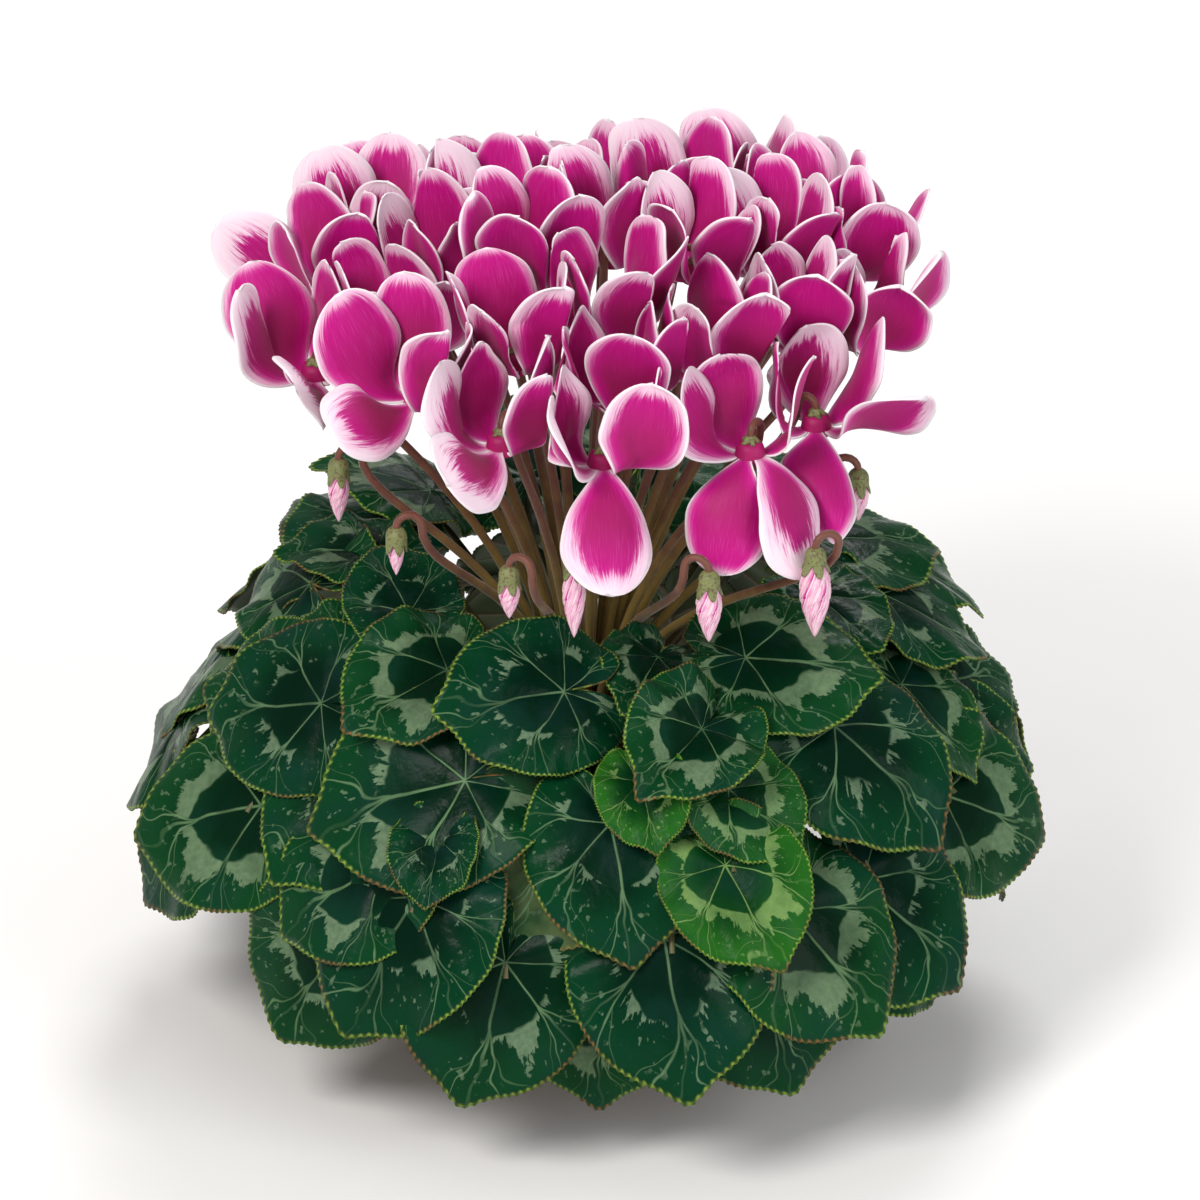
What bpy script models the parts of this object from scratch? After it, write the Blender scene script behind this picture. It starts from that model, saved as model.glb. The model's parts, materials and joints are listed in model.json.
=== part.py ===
"""A florist's cyclamen in its nursery pot, after the photograph.

Run it with: blender --background --python part.py
Metres, +Z up. The origin is the middle of the pot's underside, and the photograph
looks along +Y. The shapes below are worked out in millimetres and put into metres
where a mesh is made.
"""

import math
import random

import bmesh
import bpy
import numpy as np
from mathutils import Matrix, Vector

MM = 0.001
GAP = 0.3  # left between pieces that touch

# The photograph looks down on the plant at this angle.
VIEW_TILT = math.radians(27)

# The pot, the soil in it and the tuber
POT_HEIGHT = 118
POT_FOOT_RADIUS = 47
POT_RIM_RADIUS = 64
POT_WALL = 2.4
LIP_HEIGHT = 16
LIP_WIDTH = 2.5
DRAIN_RADIUS = 5
DRAIN_RING = 30
DRAINS = 6
SOIL_TOP = 107
TUBER_RADIUS = 33
TUBER_TOP = 122.5
TUBER_BOTTOM = 94
TUBER_CROWN = 27  # radius of the flat crown that everything grows from

# The crown ring that carries the leaf stalks, and the disc that carries the flower stalks
CROWN_BASE = TUBER_TOP + GAP
CROWN_THICK = 4
DISC_RADIUS = 15
RING_INNER = 17
RING_OUTER = 26

# Leaves. The mound is the surface that the leaf hubs lie on: radius and height, from
# its open middle over the top and down the side.
MOUND = ((30, 150), (48, 182), (72, 197), (100, 190), (128, 165), (150, 130),
         (162, 100), (159, 72), (144, 49), (120, 31))
LEAF_THICK = 0.8
LEAF_CORNERS = (0, 0.083, 0.222, 0.375, 0.5, 0.625, 0.778, 0.917, 1)
PETIOLE_RADIUS = 1.35
PETIOLE_RUN = 27
# The outline of a leaf: distance from the hub as a share of the length to the tip,
# at angles from the tip round to the notch
OUTLINE_ANGLE = (0, 12, 30, 55, 85, 115, 140, 160, 172, 180)
OUTLINE_REACH = (1.0, 0.93, 0.86, 0.75, 0.64, 0.60, 0.58, 0.52, 0.36, 0.05)
LOWEST = 4  # no leaf comes nearer to the ground than this
LEAF_TILT = 14  # how far a tip stands off the mound, in degrees
LEAF_DROOP = 150  # radius that a leaf is bent down to
LEAF_SWAY = 9  # how far a leaf may lean out of the mound's surface, in degrees
LEAF_WAVE = 0.065

# Leaves that the photograph shows: azimuth from the front, way down the mound, turn of
# the tip from straight down (both turns run towards +X in front), length, lift off the
# mound and fold
SEEN_LEAVES = (
    (-51, 130, -63, 56, 7, 0.0),
    (-64, 137, -68, 50, -3, 0.1),
    (-84, 103, -72, 50, 3, 0.0),
    (-86, 76, -10, 38, 3, 0.3),
    (-50, 82, -110, 36, 4, 0.2),
    (-31, 98, -25, 48, 1, 0.5),
    (-56, 177, -56, 62, 1, 0.0),
    (-20, 140, -66, 64, 3, 0.2),
    (-31, 179, -48, 52, 0, 0.2),
    (-22, 164, 5, 28, 6, 0.6),
    (-24, 187, -24, 62, 5, 0.0),
    (-11, 209, -14, 60, -1, 0.1),
    (-37, 214, -26, 58, -4, 0.1),
    (-4, 103, -74, 50, 8, 0.0),
    (21, 122, -55, 42, 9, 0.7),
    (9, 138, 6, 29, 8, 0.5),
    (4, 153, 8, 54, 6, 0.0),
    (0, 148, -36, 62, -5, 0.2),
    (23, 145, 34, 37, 9, 0.2),
    (20, 173, 16, 45, 10, 0.3),
    (37, 97, 52, 52, 3, 0.0),
    (19, 82, -40, 33, -2, 0.2),
    (11, 198, 3, 62, 3, 0.0),
    (84, 112, 6, 48, 6, 0.0),
    (70, 90, -28, 38, 1, 0.2),
    (46, 135, 18, 60, 7, 0.0),
    (69, 138, -6, 46, 2, 0.2),
    (80, 152, 58, 48, 2, 0.2),
    (74, 172, 46, 48, 0, 0.1),
    (64, 182, 46, 58, 3, 0.1),
    (43, 195, 30, 60, 0, 0.1),
    (29, 195, 28, 60, 5, 0.0),
    (24, 216, 14, 58, -3, 0.1),
    (98, 86, 14, 52, 2, 0.0),
    (-96, 76, -52, 48, 1, 0.1),
    (-40, 150, -20, 52, -6, 0.2),
    (-72, 196, -20, 56, -3, 0.1),
    (84, 205, 12, 54, -4, 0.1),
    (-60, 112, -20, 46, -6, 0.2),
    (58, 112, 10, 46, -6, 0.1),
    (2, 225, 0, 50, -7, 0.1),
    (55, 226, 20, 50, -7, 0.1),
)
# Leaves on the far side, by rule: way down the mound, how many, first and last azimuth
BACK_ROWS = (
    (68, 4, 125, 235),
    (108, 6, 108, 262),
    (146, 7, 100, 258),
    (184, 7, 108, 268),
    (218, 6, 104, 262),
)
BACK_LENGTH = 54
BACK_TURN = 26
BACK_LIFT = 4
LEAF_SEED = 11

# Blooms: across, up and into the picture, as seen along the photograph's view, a turn
# about the upright and how far each of the five petals stands up, from straight out,
# in degrees. The first petal faces away from the plant's middle, unless the bloom is
# turned, and the others follow to the right. A bloom whose first petal hangs has the
# petals beside it closer to the front.
UPRIGHT = (84, 80, 88, 88, 80)
BLOOMS = (
    (7, 205, -100, 0, (-62, 80, 88, 88, 84)),
    (64, 209, -86, -62, (-66, -72, 82, 86, 84)),
    (-32, 212, -94, 0, (30, 82, 88, 86, 78)),
    (-64, 230, -70, 0, (10, 84, 88, 86, 80)),
    (-105, 240, -28, 0, (74, 40, 86, 90, 76)),
    (90, 220, -52, 0, (44, 80, 88, 90, -50)),
    (-26, 244, -56, 0, (70, 82, 88, 88, 80)),
    (-76, 250, -19, 0, UPRIGHT),
    (49, 242, -45, 0, UPRIGHT),
    (82, 254, -15, 0, UPRIGHT),
    (12, 257, -36, 0, (66, 82, 88, 88, 84)),
    (108, 254, 0, 0, UPRIGHT),
    (-98, 274, 26, 0, (50, 84, 88, 88, 80)),
    (-53, 274, 11, 0, UPRIGHT),
    (-22, 277, -6, 0, UPRIGHT),
    (44, 280, 8, 0, (40, 84, 88, 90, 76)),
    (75, 280, 24, 5, UPRIGHT),
    (100, 280, 36, 0, (56, 80, 88, 88, 80)),
    (-80, 290, 54, 0, UPRIGHT),
    (-42, 288, 44, 0, UPRIGHT),
    (-19, 291, 80, 0, UPRIGHT),
    (11, 287, 32, 0, (40, 84, 88, 88, 80)),
    (8, 296, 112, 0, UPRIGHT),
    (38, 297, 70, 0, UPRIGHT),
    (65, 300, 98, 0, UPRIGHT),
    (87, 290, 62, 0, UPRIGHT),
    (-74, 288, 92, 0, UPRIGHT),
    (-40, 293, 110, 0, UPRIGHT),
    (13, 229, -69, 0, UPRIGHT),
)
PETAL_AZIMUTHS = (0, 68, 134, 236, 298)
HUNG_AZIMUTHS = (0, 48, 118, 242, 312)
PETAL_LENGTH = 50
PETAL_HALF_WIDTH = 17.5
PETAL_BASE = 2.4
PETAL_WIDEST = 0.6
PETAL_THICK = 1.6
PETAL_TWIST = 44
PETAL_RAMP = 0.22  # how soon a petal has turned up, as a share of its length
PETAL_STEPS = 3
PETAL_SEED = 5
CUP_RADIUS = 6.2
CUP_HEIGHT = 7
CUP_LIP = 1.0
CUP_DENT = 2.5
CUP_PROFILE = (
    (0, CUP_HEIGHT),
    (CUP_RADIUS * 0.75, CUP_HEIGHT),
    (CUP_RADIUS, 0.4),
    (CUP_RADIUS - CUP_LIP, 0),
    (0, CUP_DENT),
)
CELL_HEIGHT = 20  # the middle of a bloom, above the rim of its cup
CELL_MARGIN = 0.9
CELL_SOFT = 1.5  # how softly a petal turns away from the next bloom
HOOK_CLEAR = 15.5

# Buds: across, up and into the picture for the top of the bud, then its length, its
# radius and the direction its hook comes from, in degrees from the front
BUDS = (
    (-96, 207, -42, 25, 4.6, 120),
    (-73, 180, -86, 18, 3.4, 100),
    (-29, 165, -118, 20, 4.6, 60),
    (-4, 170, -124, 34, 5.0, 180),
    (48, 163, -123, 28, 5.6, -110),
    (89, 172, -116, 36, 6.8, 115),
    (107, 203, -26, 20, 4.6, -95),
)

# Flower stalks and the small green calyx at the end of each
STALK_RADIUS = 1.7
STALK_SIDES = 3
STALK_STEPS = 5
HOOK_STEPS = 3
STALK_UPRIGHT = 26  # how far below its hook a stalk starts to turn upright
HOOK_RADIUS = 4.2
STALK_SIDE = 176  # azimuth of a bloom's stalk, counted like its petals' azimuths
CALYX_RADIUS = 4.2
CALYX_HEIGHT = 3.4


def clear_scene():
    for old in list(bpy.data.objects):
        bpy.data.objects.remove(old)


def material(name, colour, roughness):
    made = bpy.data.materials.new(name)
    made.use_nodes = True
    made.diffuse_color = (*colour, 1)
    shader = made.node_tree.nodes["Principled BSDF"]
    shader.inputs["Base Color"].default_value = (*colour, 1)
    shader.inputs["Roughness"].default_value = roughness
    shader.inputs["Metallic"].default_value = 0
    return made


def add_object(name, bm, look, smooth=True):
    """The object of one closed mesh, its faces turned outwards."""
    bmesh.ops.recalc_face_normals(bm, faces=bm.faces[:])
    mesh = bpy.data.meshes.new(name)
    bm.to_mesh(mesh)
    bm.free()
    mesh.materials.append(look)
    if smooth:
        mesh.shade_smooth()
    obj = bpy.data.objects.new(name, mesh)
    bpy.context.scene.collection.objects.link(obj)
    return obj


def split_alike(bm, across):
    """Splits each quad of a new grid from its even column, low, to its odd column, high."""
    for face in bm.faces[:]:
        low = min(vert.co.y for vert in face.verts) + 0.001
        for vert in face.verts:
            odd = round((vert.co.x + 0.5) * across) % 2
            if vert.co.y < low and not odd:
                first = vert
            if vert.co.y > low and odd:
                second = vert
        bmesh.utils.face_split(face, first, second)


def mapped_grid(across, along, place, alike=False):
    """A grid whose points place(share across, share along) puts in millimetres."""
    bm = bmesh.new()
    bmesh.ops.create_grid(bm, x_segments=across, y_segments=along, size=0.5)
    if alike:
        split_alike(bm, across)
    for vert in bm.verts:
        vert.co = Vector(place(vert.co.x + 0.5, vert.co.y + 0.5)) * MM
    return bm


def close_skin(bm):
    """Joins the seam and the tips of a skin and fills what ends stay open."""
    bmesh.ops.remove_doubles(bm, verts=bm.verts[:], dist=0.00002)
    edges = [edge for edge in bm.edges if edge.is_boundary]
    if edges:
        bmesh.ops.holes_fill(bm, edges=edges, sides=0)
    bmesh.ops.recalc_face_normals(bm, faces=bm.faces[:])
    return bm


def turned(name, profile, look, steps):
    """A closed solid of revolution from (radius, height) points in millimetres."""
    bm = bmesh.new()
    verts = [bm.verts.new((radius * MM, 0, height * MM)) for radius, height in profile]
    edges = [bm.edges.new(pair) for pair in zip(verts, verts[1:])]
    bmesh.ops.spin(bm, geom=verts + edges, axis=(0, 0, 1), cent=(0, 0, 0),
                   angle=2 * math.pi, steps=steps, use_merge=True)
    close_skin(bm)
    return add_object(name, bm, look)


def islands(bm):
    """The groups of faces that hang together."""
    left = set(bm.faces)
    groups = []
    while left:
        queue = [left.pop()]
        group = []
        while queue:
            face = queue.pop()
            group.append(face)
            for edge in face.edges:
                found = [other for other in edge.link_faces if other in left]
                left.difference_update(found)
                queue.extend(found)
        groups.append(group)
    return groups


def drop_scraps(mesh):
    """Leaves only the largest body of a fused mesh."""
    bm = bmesh.new()
    bm.from_mesh(mesh)
    groups = sorted(islands(bm), key=len)
    for scrap in groups[:-1]:
        print("dropped from", mesh.name, len(scrap), "faces")
        bmesh.ops.delete(bm, geom=scrap, context="FACES")
    bm.to_mesh(mesh)
    bm.free()


def join(name, pieces, look):
    """One object from closed pieces that run into each other."""
    if len(pieces) > 1:
        group = bpy.data.collections.new(name + "_pieces")
        for piece in pieces[1:]:
            bpy.context.scene.collection.objects.unlink(piece)
            group.objects.link(piece)
        union = pieces[0].modifiers.new("join", "BOOLEAN")
        union.operation = "UNION"
        union.operand_type = "COLLECTION"
        union.collection = group
        union.solver = "MANIFOLD"
        graph = bpy.context.evaluated_depsgraph_get()
        fused = bpy.data.meshes.new_from_object(pieces[0].evaluated_get(graph))
        for piece in pieces:
            bpy.data.objects.remove(piece)
        bpy.data.collections.remove(group)
    else:
        fused = pieces[0].data
        bpy.data.objects.remove(pieces[0])
    fused.name = name
    drop_scraps(fused)
    fused.materials.clear()
    fused.materials.append(look)
    obj = bpy.data.objects.new(name, fused)
    bpy.context.scene.collection.objects.link(obj)
    return obj


def ease(share):
    share = min(max(share, 0), 1)
    return share * share * (3 - 2 * share)


def outward(azimuth):
    """The level direction at an azimuth in radians: 0 faces the camera."""
    return Vector((math.sin(azimuth), -math.cos(azimuth), 0))


def curve_point(ends, share):
    """A point on the curve from the first to the last of three points."""
    start, bend, end = ends
    return start * (1 - share) ** 2 + bend * (2 * share * (1 - share)) + end * share**2


def tube(path, radius_at, sides):
    """A closed tube along a list of points, with a radius for each share of its way."""
    steps = len(path) - 1
    side = Vector((0, 1, 0)).cross(path[1] - path[0])
    if side.length < 1e-6:
        side = Vector((1, 0, 0))
    frames = []
    for index, point in enumerate(path):
        ahead = path[min(index + 1, steps)] - path[max(index - 1, 0)]
        ahead.normalize()
        side = (side - ahead * side.dot(ahead)).normalized()
        frames.append((point, side.copy(), ahead.cross(side)))

    def place(around, along):
        point, right, up = frames[round(along * steps)]
        radius = radius_at(along)
        angle = 2 * math.pi * around
        return point + (right * math.cos(angle) + up * math.sin(angle)) * radius

    return close_skin(mapped_grid(sides, steps, place))


def pot_inner_radius(height):
    taper = (POT_RIM_RADIUS - POT_FOOT_RADIUS) / POT_HEIGHT
    return POT_FOOT_RADIUS + taper * height - POT_WALL


def build_pot(look):
    lip = POT_HEIGHT - LIP_HEIGHT
    floor = POT_WALL + 1
    outer = pot_inner_radius(lip) + POT_WALL
    profile = (
        (0, 0),
        (POT_FOOT_RADIUS, 0),
        (outer, lip),
        (outer + LIP_WIDTH, lip + 2),
        (POT_RIM_RADIUS + LIP_WIDTH, POT_HEIGHT),
        (pot_inner_radius(POT_HEIGHT), POT_HEIGHT),
        (pot_inner_radius(floor), floor),
        (0, floor),
    )
    pot = turned("pot", profile, look, 26)
    for index in range(DRAINS):
        angle = 2 * math.pi * index / DRAINS
        bm = bmesh.new()
        bmesh.ops.create_cone(bm, cap_ends=True, segments=8, radius1=DRAIN_RADIUS * MM,
                              radius2=DRAIN_RADIUS * MM, depth=4 * floor * MM)
        hole = add_object(f"drain_{index + 1}", bm, look)
        hole.location = outward(angle) * DRAIN_RING * MM
        hole.hide_render = True
        hole.display_type = "WIRE"
        cut = pot.modifiers.new(f"drain {index + 1}", "BOOLEAN")
        cut.operation = "DIFFERENCE"
        cut.object = hole


def tuber_profile(grown=0):
    """Half the outline of the tuber, from its flat crown to its bottom."""
    middle = (TUBER_TOP + TUBER_BOTTOM) / 2
    return (
        (TUBER_CROWN + grown, TUBER_TOP + grown),
        (TUBER_RADIUS + grown, middle + 5),
        (TUBER_RADIUS + grown, middle - 3),
        (TUBER_RADIUS * 0.7 + grown, TUBER_BOTTOM + 2 - grown),
        (0, TUBER_BOTTOM - grown),
    )


def build_tuber(look):
    turned("tuber", ((0, TUBER_TOP), *tuber_profile()), look, 16)


def build_soil(look):
    floor = POT_WALL + 1 + GAP
    hollow = [point for point in tuber_profile(GAP) if point[1] < SOIL_TOP]
    wall = pot_inner_radius(SOIL_TOP) - GAP
    brim = hollow[0][0] + 0.6
    profile = (
        *reversed(hollow),
        (brim, SOIL_TOP),
        (wall - 8, SOIL_TOP + 1.5),
        (wall, SOIL_TOP - 1),
        (pot_inner_radius(floor) - GAP, floor),
        (0, floor),
    )
    turned("soil", profile, look, 26)


def mound_point(way):
    """Radius, height and the downward direction (radius, height) on the mound."""
    points = np.array(MOUND, float)
    lengths = np.hypot(*np.diff(points, axis=0).T)
    ways = np.concatenate(([0], np.cumsum(lengths)))

    def at(distance):
        return np.array([np.interp(distance, ways, points[:, axis]) for axis in (0, 1)])

    slope = at(way + 12) - at(way - 12)
    return (*at(way), *(slope / np.hypot(*slope)))


def leaf_frame(azimuth, way, turn, lift, tilt, roll):
    """Hub, tip direction, side direction and normal of a leaf on the mound."""
    radius, height, run, drop = mound_point(way)
    angle = math.radians(azimuth)
    out = outward(angle)
    up = Vector((0, 0, 1))
    down = out * run + up * drop
    normal = up * run - out * drop
    side = Vector((math.cos(angle), math.sin(angle), 0))
    turn = math.radians(turn)
    tip = down * math.cos(turn) + side * math.sin(turn)
    hub = out * radius + up * height + normal * lift
    tip = (tip + normal * math.tan(math.radians(tilt))).normalized()
    across = (normal.cross(tip).normalized() + normal * math.tan(math.radians(roll))).normalized()
    across = (across - tip * across.dot(tip)).normalized()
    return hub, tip, across, tip.cross(across)


def leaf_reach(angle):
    """Distance from hub to edge at an angle from the tip, as a share of the length."""
    return np.interp(abs(math.degrees(angle)), OUTLINE_ANGLE, OUTLINE_REACH)


def leaf_point(leaf, around, share):
    """A point of a leaf's middle surface: around in 0 to 1, share from hub to edge."""
    hub, tip, across, normal, length, fold, phase = leaf
    angle = 2 * math.pi * (around - 0.5)
    reach = leaf_reach(angle) * length * share
    ahead = reach * math.cos(angle)
    aside = reach * math.sin(angle)
    rise = fold * abs(aside) * 0.6 - (ahead**2 + aside**2) / (2 * LEAF_DROOP)
    rise += LEAF_WAVE * length * share**2 * math.sin(4 * angle + phase) * math.sin(angle / 2) ** 2
    rise += LEAF_WAVE * length * share**2 * math.sin(5 * angle + 2 * phase) * 0.6
    point = hub + tip * ahead + across * aside + normal * rise
    point.z = max(point.z, LOWEST + 0.5)
    return point


def leaf_blade(leaf):
    sides = len(LEAF_CORNERS) - 1

    def place(around, share):
        return leaf_point(leaf, LEAF_CORNERS[round(around * sides)], share)

    bm = mapped_grid(sides, 1, place)
    bmesh.ops.remove_doubles(bm, verts=bm.verts[:], dist=0.00002)
    bmesh.ops.triangulate(bm, faces=bm.faces[:])
    bmesh.ops.recalc_face_normals(bm, faces=bm.faces[:])
    if sum((face.normal * face.calc_area() for face in bm.faces), Vector()).dot(leaf[3]) < 0:
        bmesh.ops.reverse_faces(bm, faces=bm.faces[:])
    bmesh.ops.solidify(bm, geom=bm.faces[:], thickness=LEAF_THICK * MM)
    return bm


def petiole(leaf):
    """The stalk of one leaf, from the crown ring to just inside the blade."""
    hub, normal = leaf[0], leaf[3]
    out = outward(math.atan2(hub.x, -hub.y))
    height_share = ease((hub.z - 80) / 120)
    start_radius = RING_OUTER - 3 - (RING_OUTER - RING_INNER - 5) * height_share
    start = out * start_radius + Vector((0, 0, CROWN_BASE + CROWN_THICK * 0.4))
    end = leaf_point(leaf, 0.55, 0.12)
    bend = end - normal * PETIOLE_RUN
    bend.z = max(bend.z, POT_HEIGHT + PETIOLE_RUN)
    path = [curve_point((start, bend, end), step / 2) for step in range(3)]
    return tube(path, lambda along: PETIOLE_RADIUS * (1.15 - 0.3 * along), 3)


def all_leaves():
    rng = random.Random(LEAF_SEED)
    listed = list(SEEN_LEAVES)
    for row, (way, count, first, last) in enumerate(BACK_ROWS):
        for index in range(count):
            azimuth = first + (last - first) * index / (count - 1)
            turn = rng.uniform(-BACK_TURN, BACK_TURN)
            length = BACK_LENGTH * rng.uniform(0.85, 1.1)
            lift = BACK_LIFT * (1 if (index + row) % 2 else -1)
            listed.append((azimuth, way, turn, length, lift, rng.uniform(0, 0.2)))
    leaves = []
    for azimuth, way, turn, length, lift, fold in listed:
        tilt = LEAF_TILT + rng.uniform(-LEAF_SWAY, LEAF_SWAY)
        frame = leaf_frame(azimuth, way, turn, lift, tilt, rng.uniform(-LEAF_SWAY, LEAF_SWAY))
        leaves.append((*frame, length, fold, rng.uniform(0, 2 * math.pi)))
    return leaves


def build_leaves(look):
    profile = (
        (RING_INNER, CROWN_BASE),
        (RING_OUTER, CROWN_BASE),
        (RING_OUTER - 1, CROWN_BASE + CROWN_THICK * 0.8),
        (RING_INNER, CROWN_BASE + CROWN_THICK),
        (RING_INNER, CROWN_BASE),
    )
    pieces = [turned("crown_ring", profile, look, 20)]
    for index, leaf in enumerate(all_leaves()):
        pieces.append(add_object(f"blade_{index + 1}", leaf_blade(leaf), look))
        pieces.append(add_object(f"petiole_{index + 1}", petiole(leaf), look))
    join("leaves", pieces, look)


def from_view(across, up, depth):
    """The point that the photograph shows so far across and up, at a given depth."""
    height = (up - depth * math.sin(VIEW_TILT)) / math.cos(VIEW_TILT)
    return Vector((across, depth, height))


def petal_centre_line(lift, curl, steps=24):
    """Points (out, up) and directions of a petal's middle from the cup's rim."""
    points = [(CUP_RADIUS - 1.8, 2)]
    angles = []
    for step in range(steps + 1):
        share = step / steps
        angle = math.radians(lift * (1 - math.exp(-share / PETAL_RAMP)) - 14 * math.exp(-share / 0.05))
        angle -= math.radians(curl) * share**2
        angles.append(angle)
        radius, height = points[-1]
        length = PETAL_LENGTH / steps
        points.append((radius + math.cos(angle) * length, height + math.sin(angle) * length))
    return points[:-1], angles


def petal_half_width(share):
    if share < PETAL_WIDEST:
        rise = math.sin(math.pi / 2 * share / PETAL_WIDEST) ** 1.25
        return PETAL_BASE + (PETAL_HALF_WIDTH - PETAL_BASE) * rise
    back = (share - PETAL_WIDEST) / (1 - PETAL_WIDEST)
    return PETAL_HALF_WIDTH * math.sqrt(max(1 - back * back, 0))


def petal_point(petal, share, across, raise_by=0):
    """A point of a petal: share along it, across from -1 to 1, raised off its middle."""
    rim, azimuth, size, twist, cup, line = petal
    points, angles = line
    place = share * (len(points) - 1)
    low = min(int(place), len(points) - 2)
    part = place - low
    radius = points[low][0] * (1 - part) + points[low + 1][0] * part
    height = points[low][1] * (1 - part) + points[low + 1][1] * part
    angle = angles[low] * (1 - part) + angles[low + 1] * part
    out = outward(azimuth)
    up = Vector((0, 0, 1))
    side = Vector((math.cos(azimuth), math.sin(azimuth), 0))
    normal = out * math.sin(angle) - up * math.cos(angle)
    turn = math.radians(twist) * ease(share / 0.5)
    width_way = side * math.cos(turn) + normal * math.sin(turn)
    face_way = normal * math.cos(turn) - side * math.sin(turn)
    half = petal_half_width(share)
    bend = cup * half * (across**2 - 0.35) * ease(share / 0.3)
    offset = out * radius + up * height
    offset += width_way * (across * half) + face_way * (bend + raise_by)
    return rim + offset * size


def keep_off_hook(point, rim, share):
    """Moves a petal's point clear of the hooked stalk inside the bloom."""
    offset = point - rim
    level = math.hypot(offset.x, offset.y)
    clear = HOOK_CLEAR * ease((offset.z - 1) / 7) * (1 - ease((offset.z - 24) / 8))
    if level < clear and level > 1e-6:
        push = (clear - level) * 0.9 * ease(share / 0.15)
        point = point + Vector((offset.x, offset.y, 0)) * (push / level)
    return point


def keep_in_cell(point, centre, others, share):
    """Bends a point back where it would reach into a neighbouring bloom's space."""
    for other in others:
        way = other - centre
        distance = way.length
        way = way / distance
        beyond = (point - centre).dot(way) - (distance / 2 - CELL_MARGIN)
        if beyond > -4 * CELL_SOFT:
            back = CELL_SOFT * math.log(1 + math.exp(beyond / CELL_SOFT))
            point = point - way * (back * ease(share / 0.15))
    return point


def facing(rim, turn):
    """The direction that a bloom's first petal faces."""
    return math.atan2(rim.x, -rim.y) + math.radians(turn)


def bloom_petals(rim, turned_by, lifts, rng):
    """The five petals of a bloom. The stalk's gap is on the plant's middle's side."""
    petals = []
    hung = lifts[0] < 0 < lifts[1]
    for azimuth, lift in zip(HUNG_AZIMUTHS if hung else PETAL_AZIMUTHS, lifts):
        lean = lift + rng.uniform(-7, 7)
        line = petal_centre_line(lean, rng.uniform(4, 26) if lift > 0 else 0)
        turn = facing(rim, turned_by) + math.radians(azimuth + rng.uniform(-3, 3))
        twist = PETAL_TWIST * rng.uniform(0.6, 1.25) * (1 if lift > 0 else 0.3)
        size = rng.uniform(0.93, 1.06)
        petals.append((rim, turn, size, twist, rng.uniform(0.1, 0.4), line))
    return petals


def petal_solid(petal, centre, others):
    """A petal as a bent lens: two edges, and a middle line on each face."""
    rim = petal[0]
    shares = [1 - (1 - step / PETAL_STEPS) ** 1.35 for step in range(PETAL_STEPS + 1)]

    def middle(share, across):
        point = keep_off_hook(petal_point(petal, share, across), rim, share)
        return keep_in_cell(point, centre, others, share)

    def place(around, along):
        share = shares[round(along * PETAL_STEPS)]
        quarter = round(around * 4) % 4
        if quarter in (0, 2):
            return middle(share, quarter - 1)
        point = middle(share, 0)
        left = middle(share, -1)
        right = middle(share, 1)
        ahead = middle(min(share + 0.02, 1), 0) - middle(max(share - 0.02, 0), 0)
        normal = (right - left).cross(ahead)
        if normal.length > 1e-6:
            half = PETAL_THICK / 2 * (1 - share**6)
            point = point + normal.normalized() * half * (quarter - 2)
        return point

    return close_skin(mapped_grid(4, PETAL_STEPS, place, alike=True))


def build_blooms(look):
    rng = random.Random(PETAL_SEED)
    rims = [from_view(*bloom[:3]) for bloom in BLOOMS]
    lifted = Vector((0, 0, CELL_HEIGHT))
    for index, (rim, bloom) in enumerate(zip(rims, BLOOMS)):
        centre = rim + lifted
        others = [other + lifted for other in rims if 0 < (other - rim).length < 110]
        cup = turned("cup", CUP_PROFILE, look, 5)
        cup.data.transform(Matrix.Translation(rim * MM))
        pieces = [cup]
        for number, petal in enumerate(bloom_petals(rim, bloom[3], bloom[4], rng)):
            bm = petal_solid(petal, centre, others)
            pieces.append(add_object(f"petal_{number + 1}", bm, look))
        join(f"bloom_{index + 1:02d}", pieces, look)


def bud_solid(top, length, radius):
    """A bud hanging point down: a spindle with five twisted edges."""

    def place(around, along):
        swell = math.sin(math.pi * min(along * 0.97 + 0.03, 1)) ** 0.8 * (1.15 - 0.5 * along)
        angle = 2 * math.pi * around + 1.2 * along
        ring = radius * swell
        return top + Vector((math.cos(angle) * ring, math.sin(angle) * ring, -length * along))

    return close_skin(mapped_grid(5, 6, place))


def stalk_path(tip, hook_from, hook_radius, base_azimuth, base_radius):
    """From the crown disc up to a hook whose end points down at tip."""
    back = outward(hook_from)
    start = outward(base_azimuth) * base_radius
    start.z = CROWN_BASE + CROWN_THICK * 0.4
    shoulder = tip + back * (2 * hook_radius) + Vector((0, 0, 1.5))
    way = shoulder - start
    rise = start + Vector((way.x * 0.22, way.y * 0.22, way.z * 0.62))
    under = shoulder - Vector((0, 0, STALK_UPRIGHT))
    path = []
    for step in range(STALK_STEPS + 1):
        share = step / STALK_STEPS
        first = curve_point((start, rise, under), share)
        second = curve_point((rise, under, shoulder), share)
        path.append(first.lerp(second, share))
    for step in range(1, HOOK_STEPS + 1):
        angle = math.pi * step / HOOK_STEPS
        reach = back * (hook_radius * (1 + math.cos(angle)))
        path.append(tip + reach + Vector((0, 0, 1.5 + hook_radius * math.sin(angle))))
    path.append(tip)
    return path


def calyx_solid(top):
    """Five pointed sepals as one small star-edged cap, point up."""

    def place(around, along):
        angle = 2 * math.pi * around
        ring = CALYX_RADIUS * (1 - along)
        return top + Vector((math.cos(angle) * ring, math.sin(angle) * ring, CALYX_HEIGHT * along))

    return close_skin(mapped_grid(5, 1, place))


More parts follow.
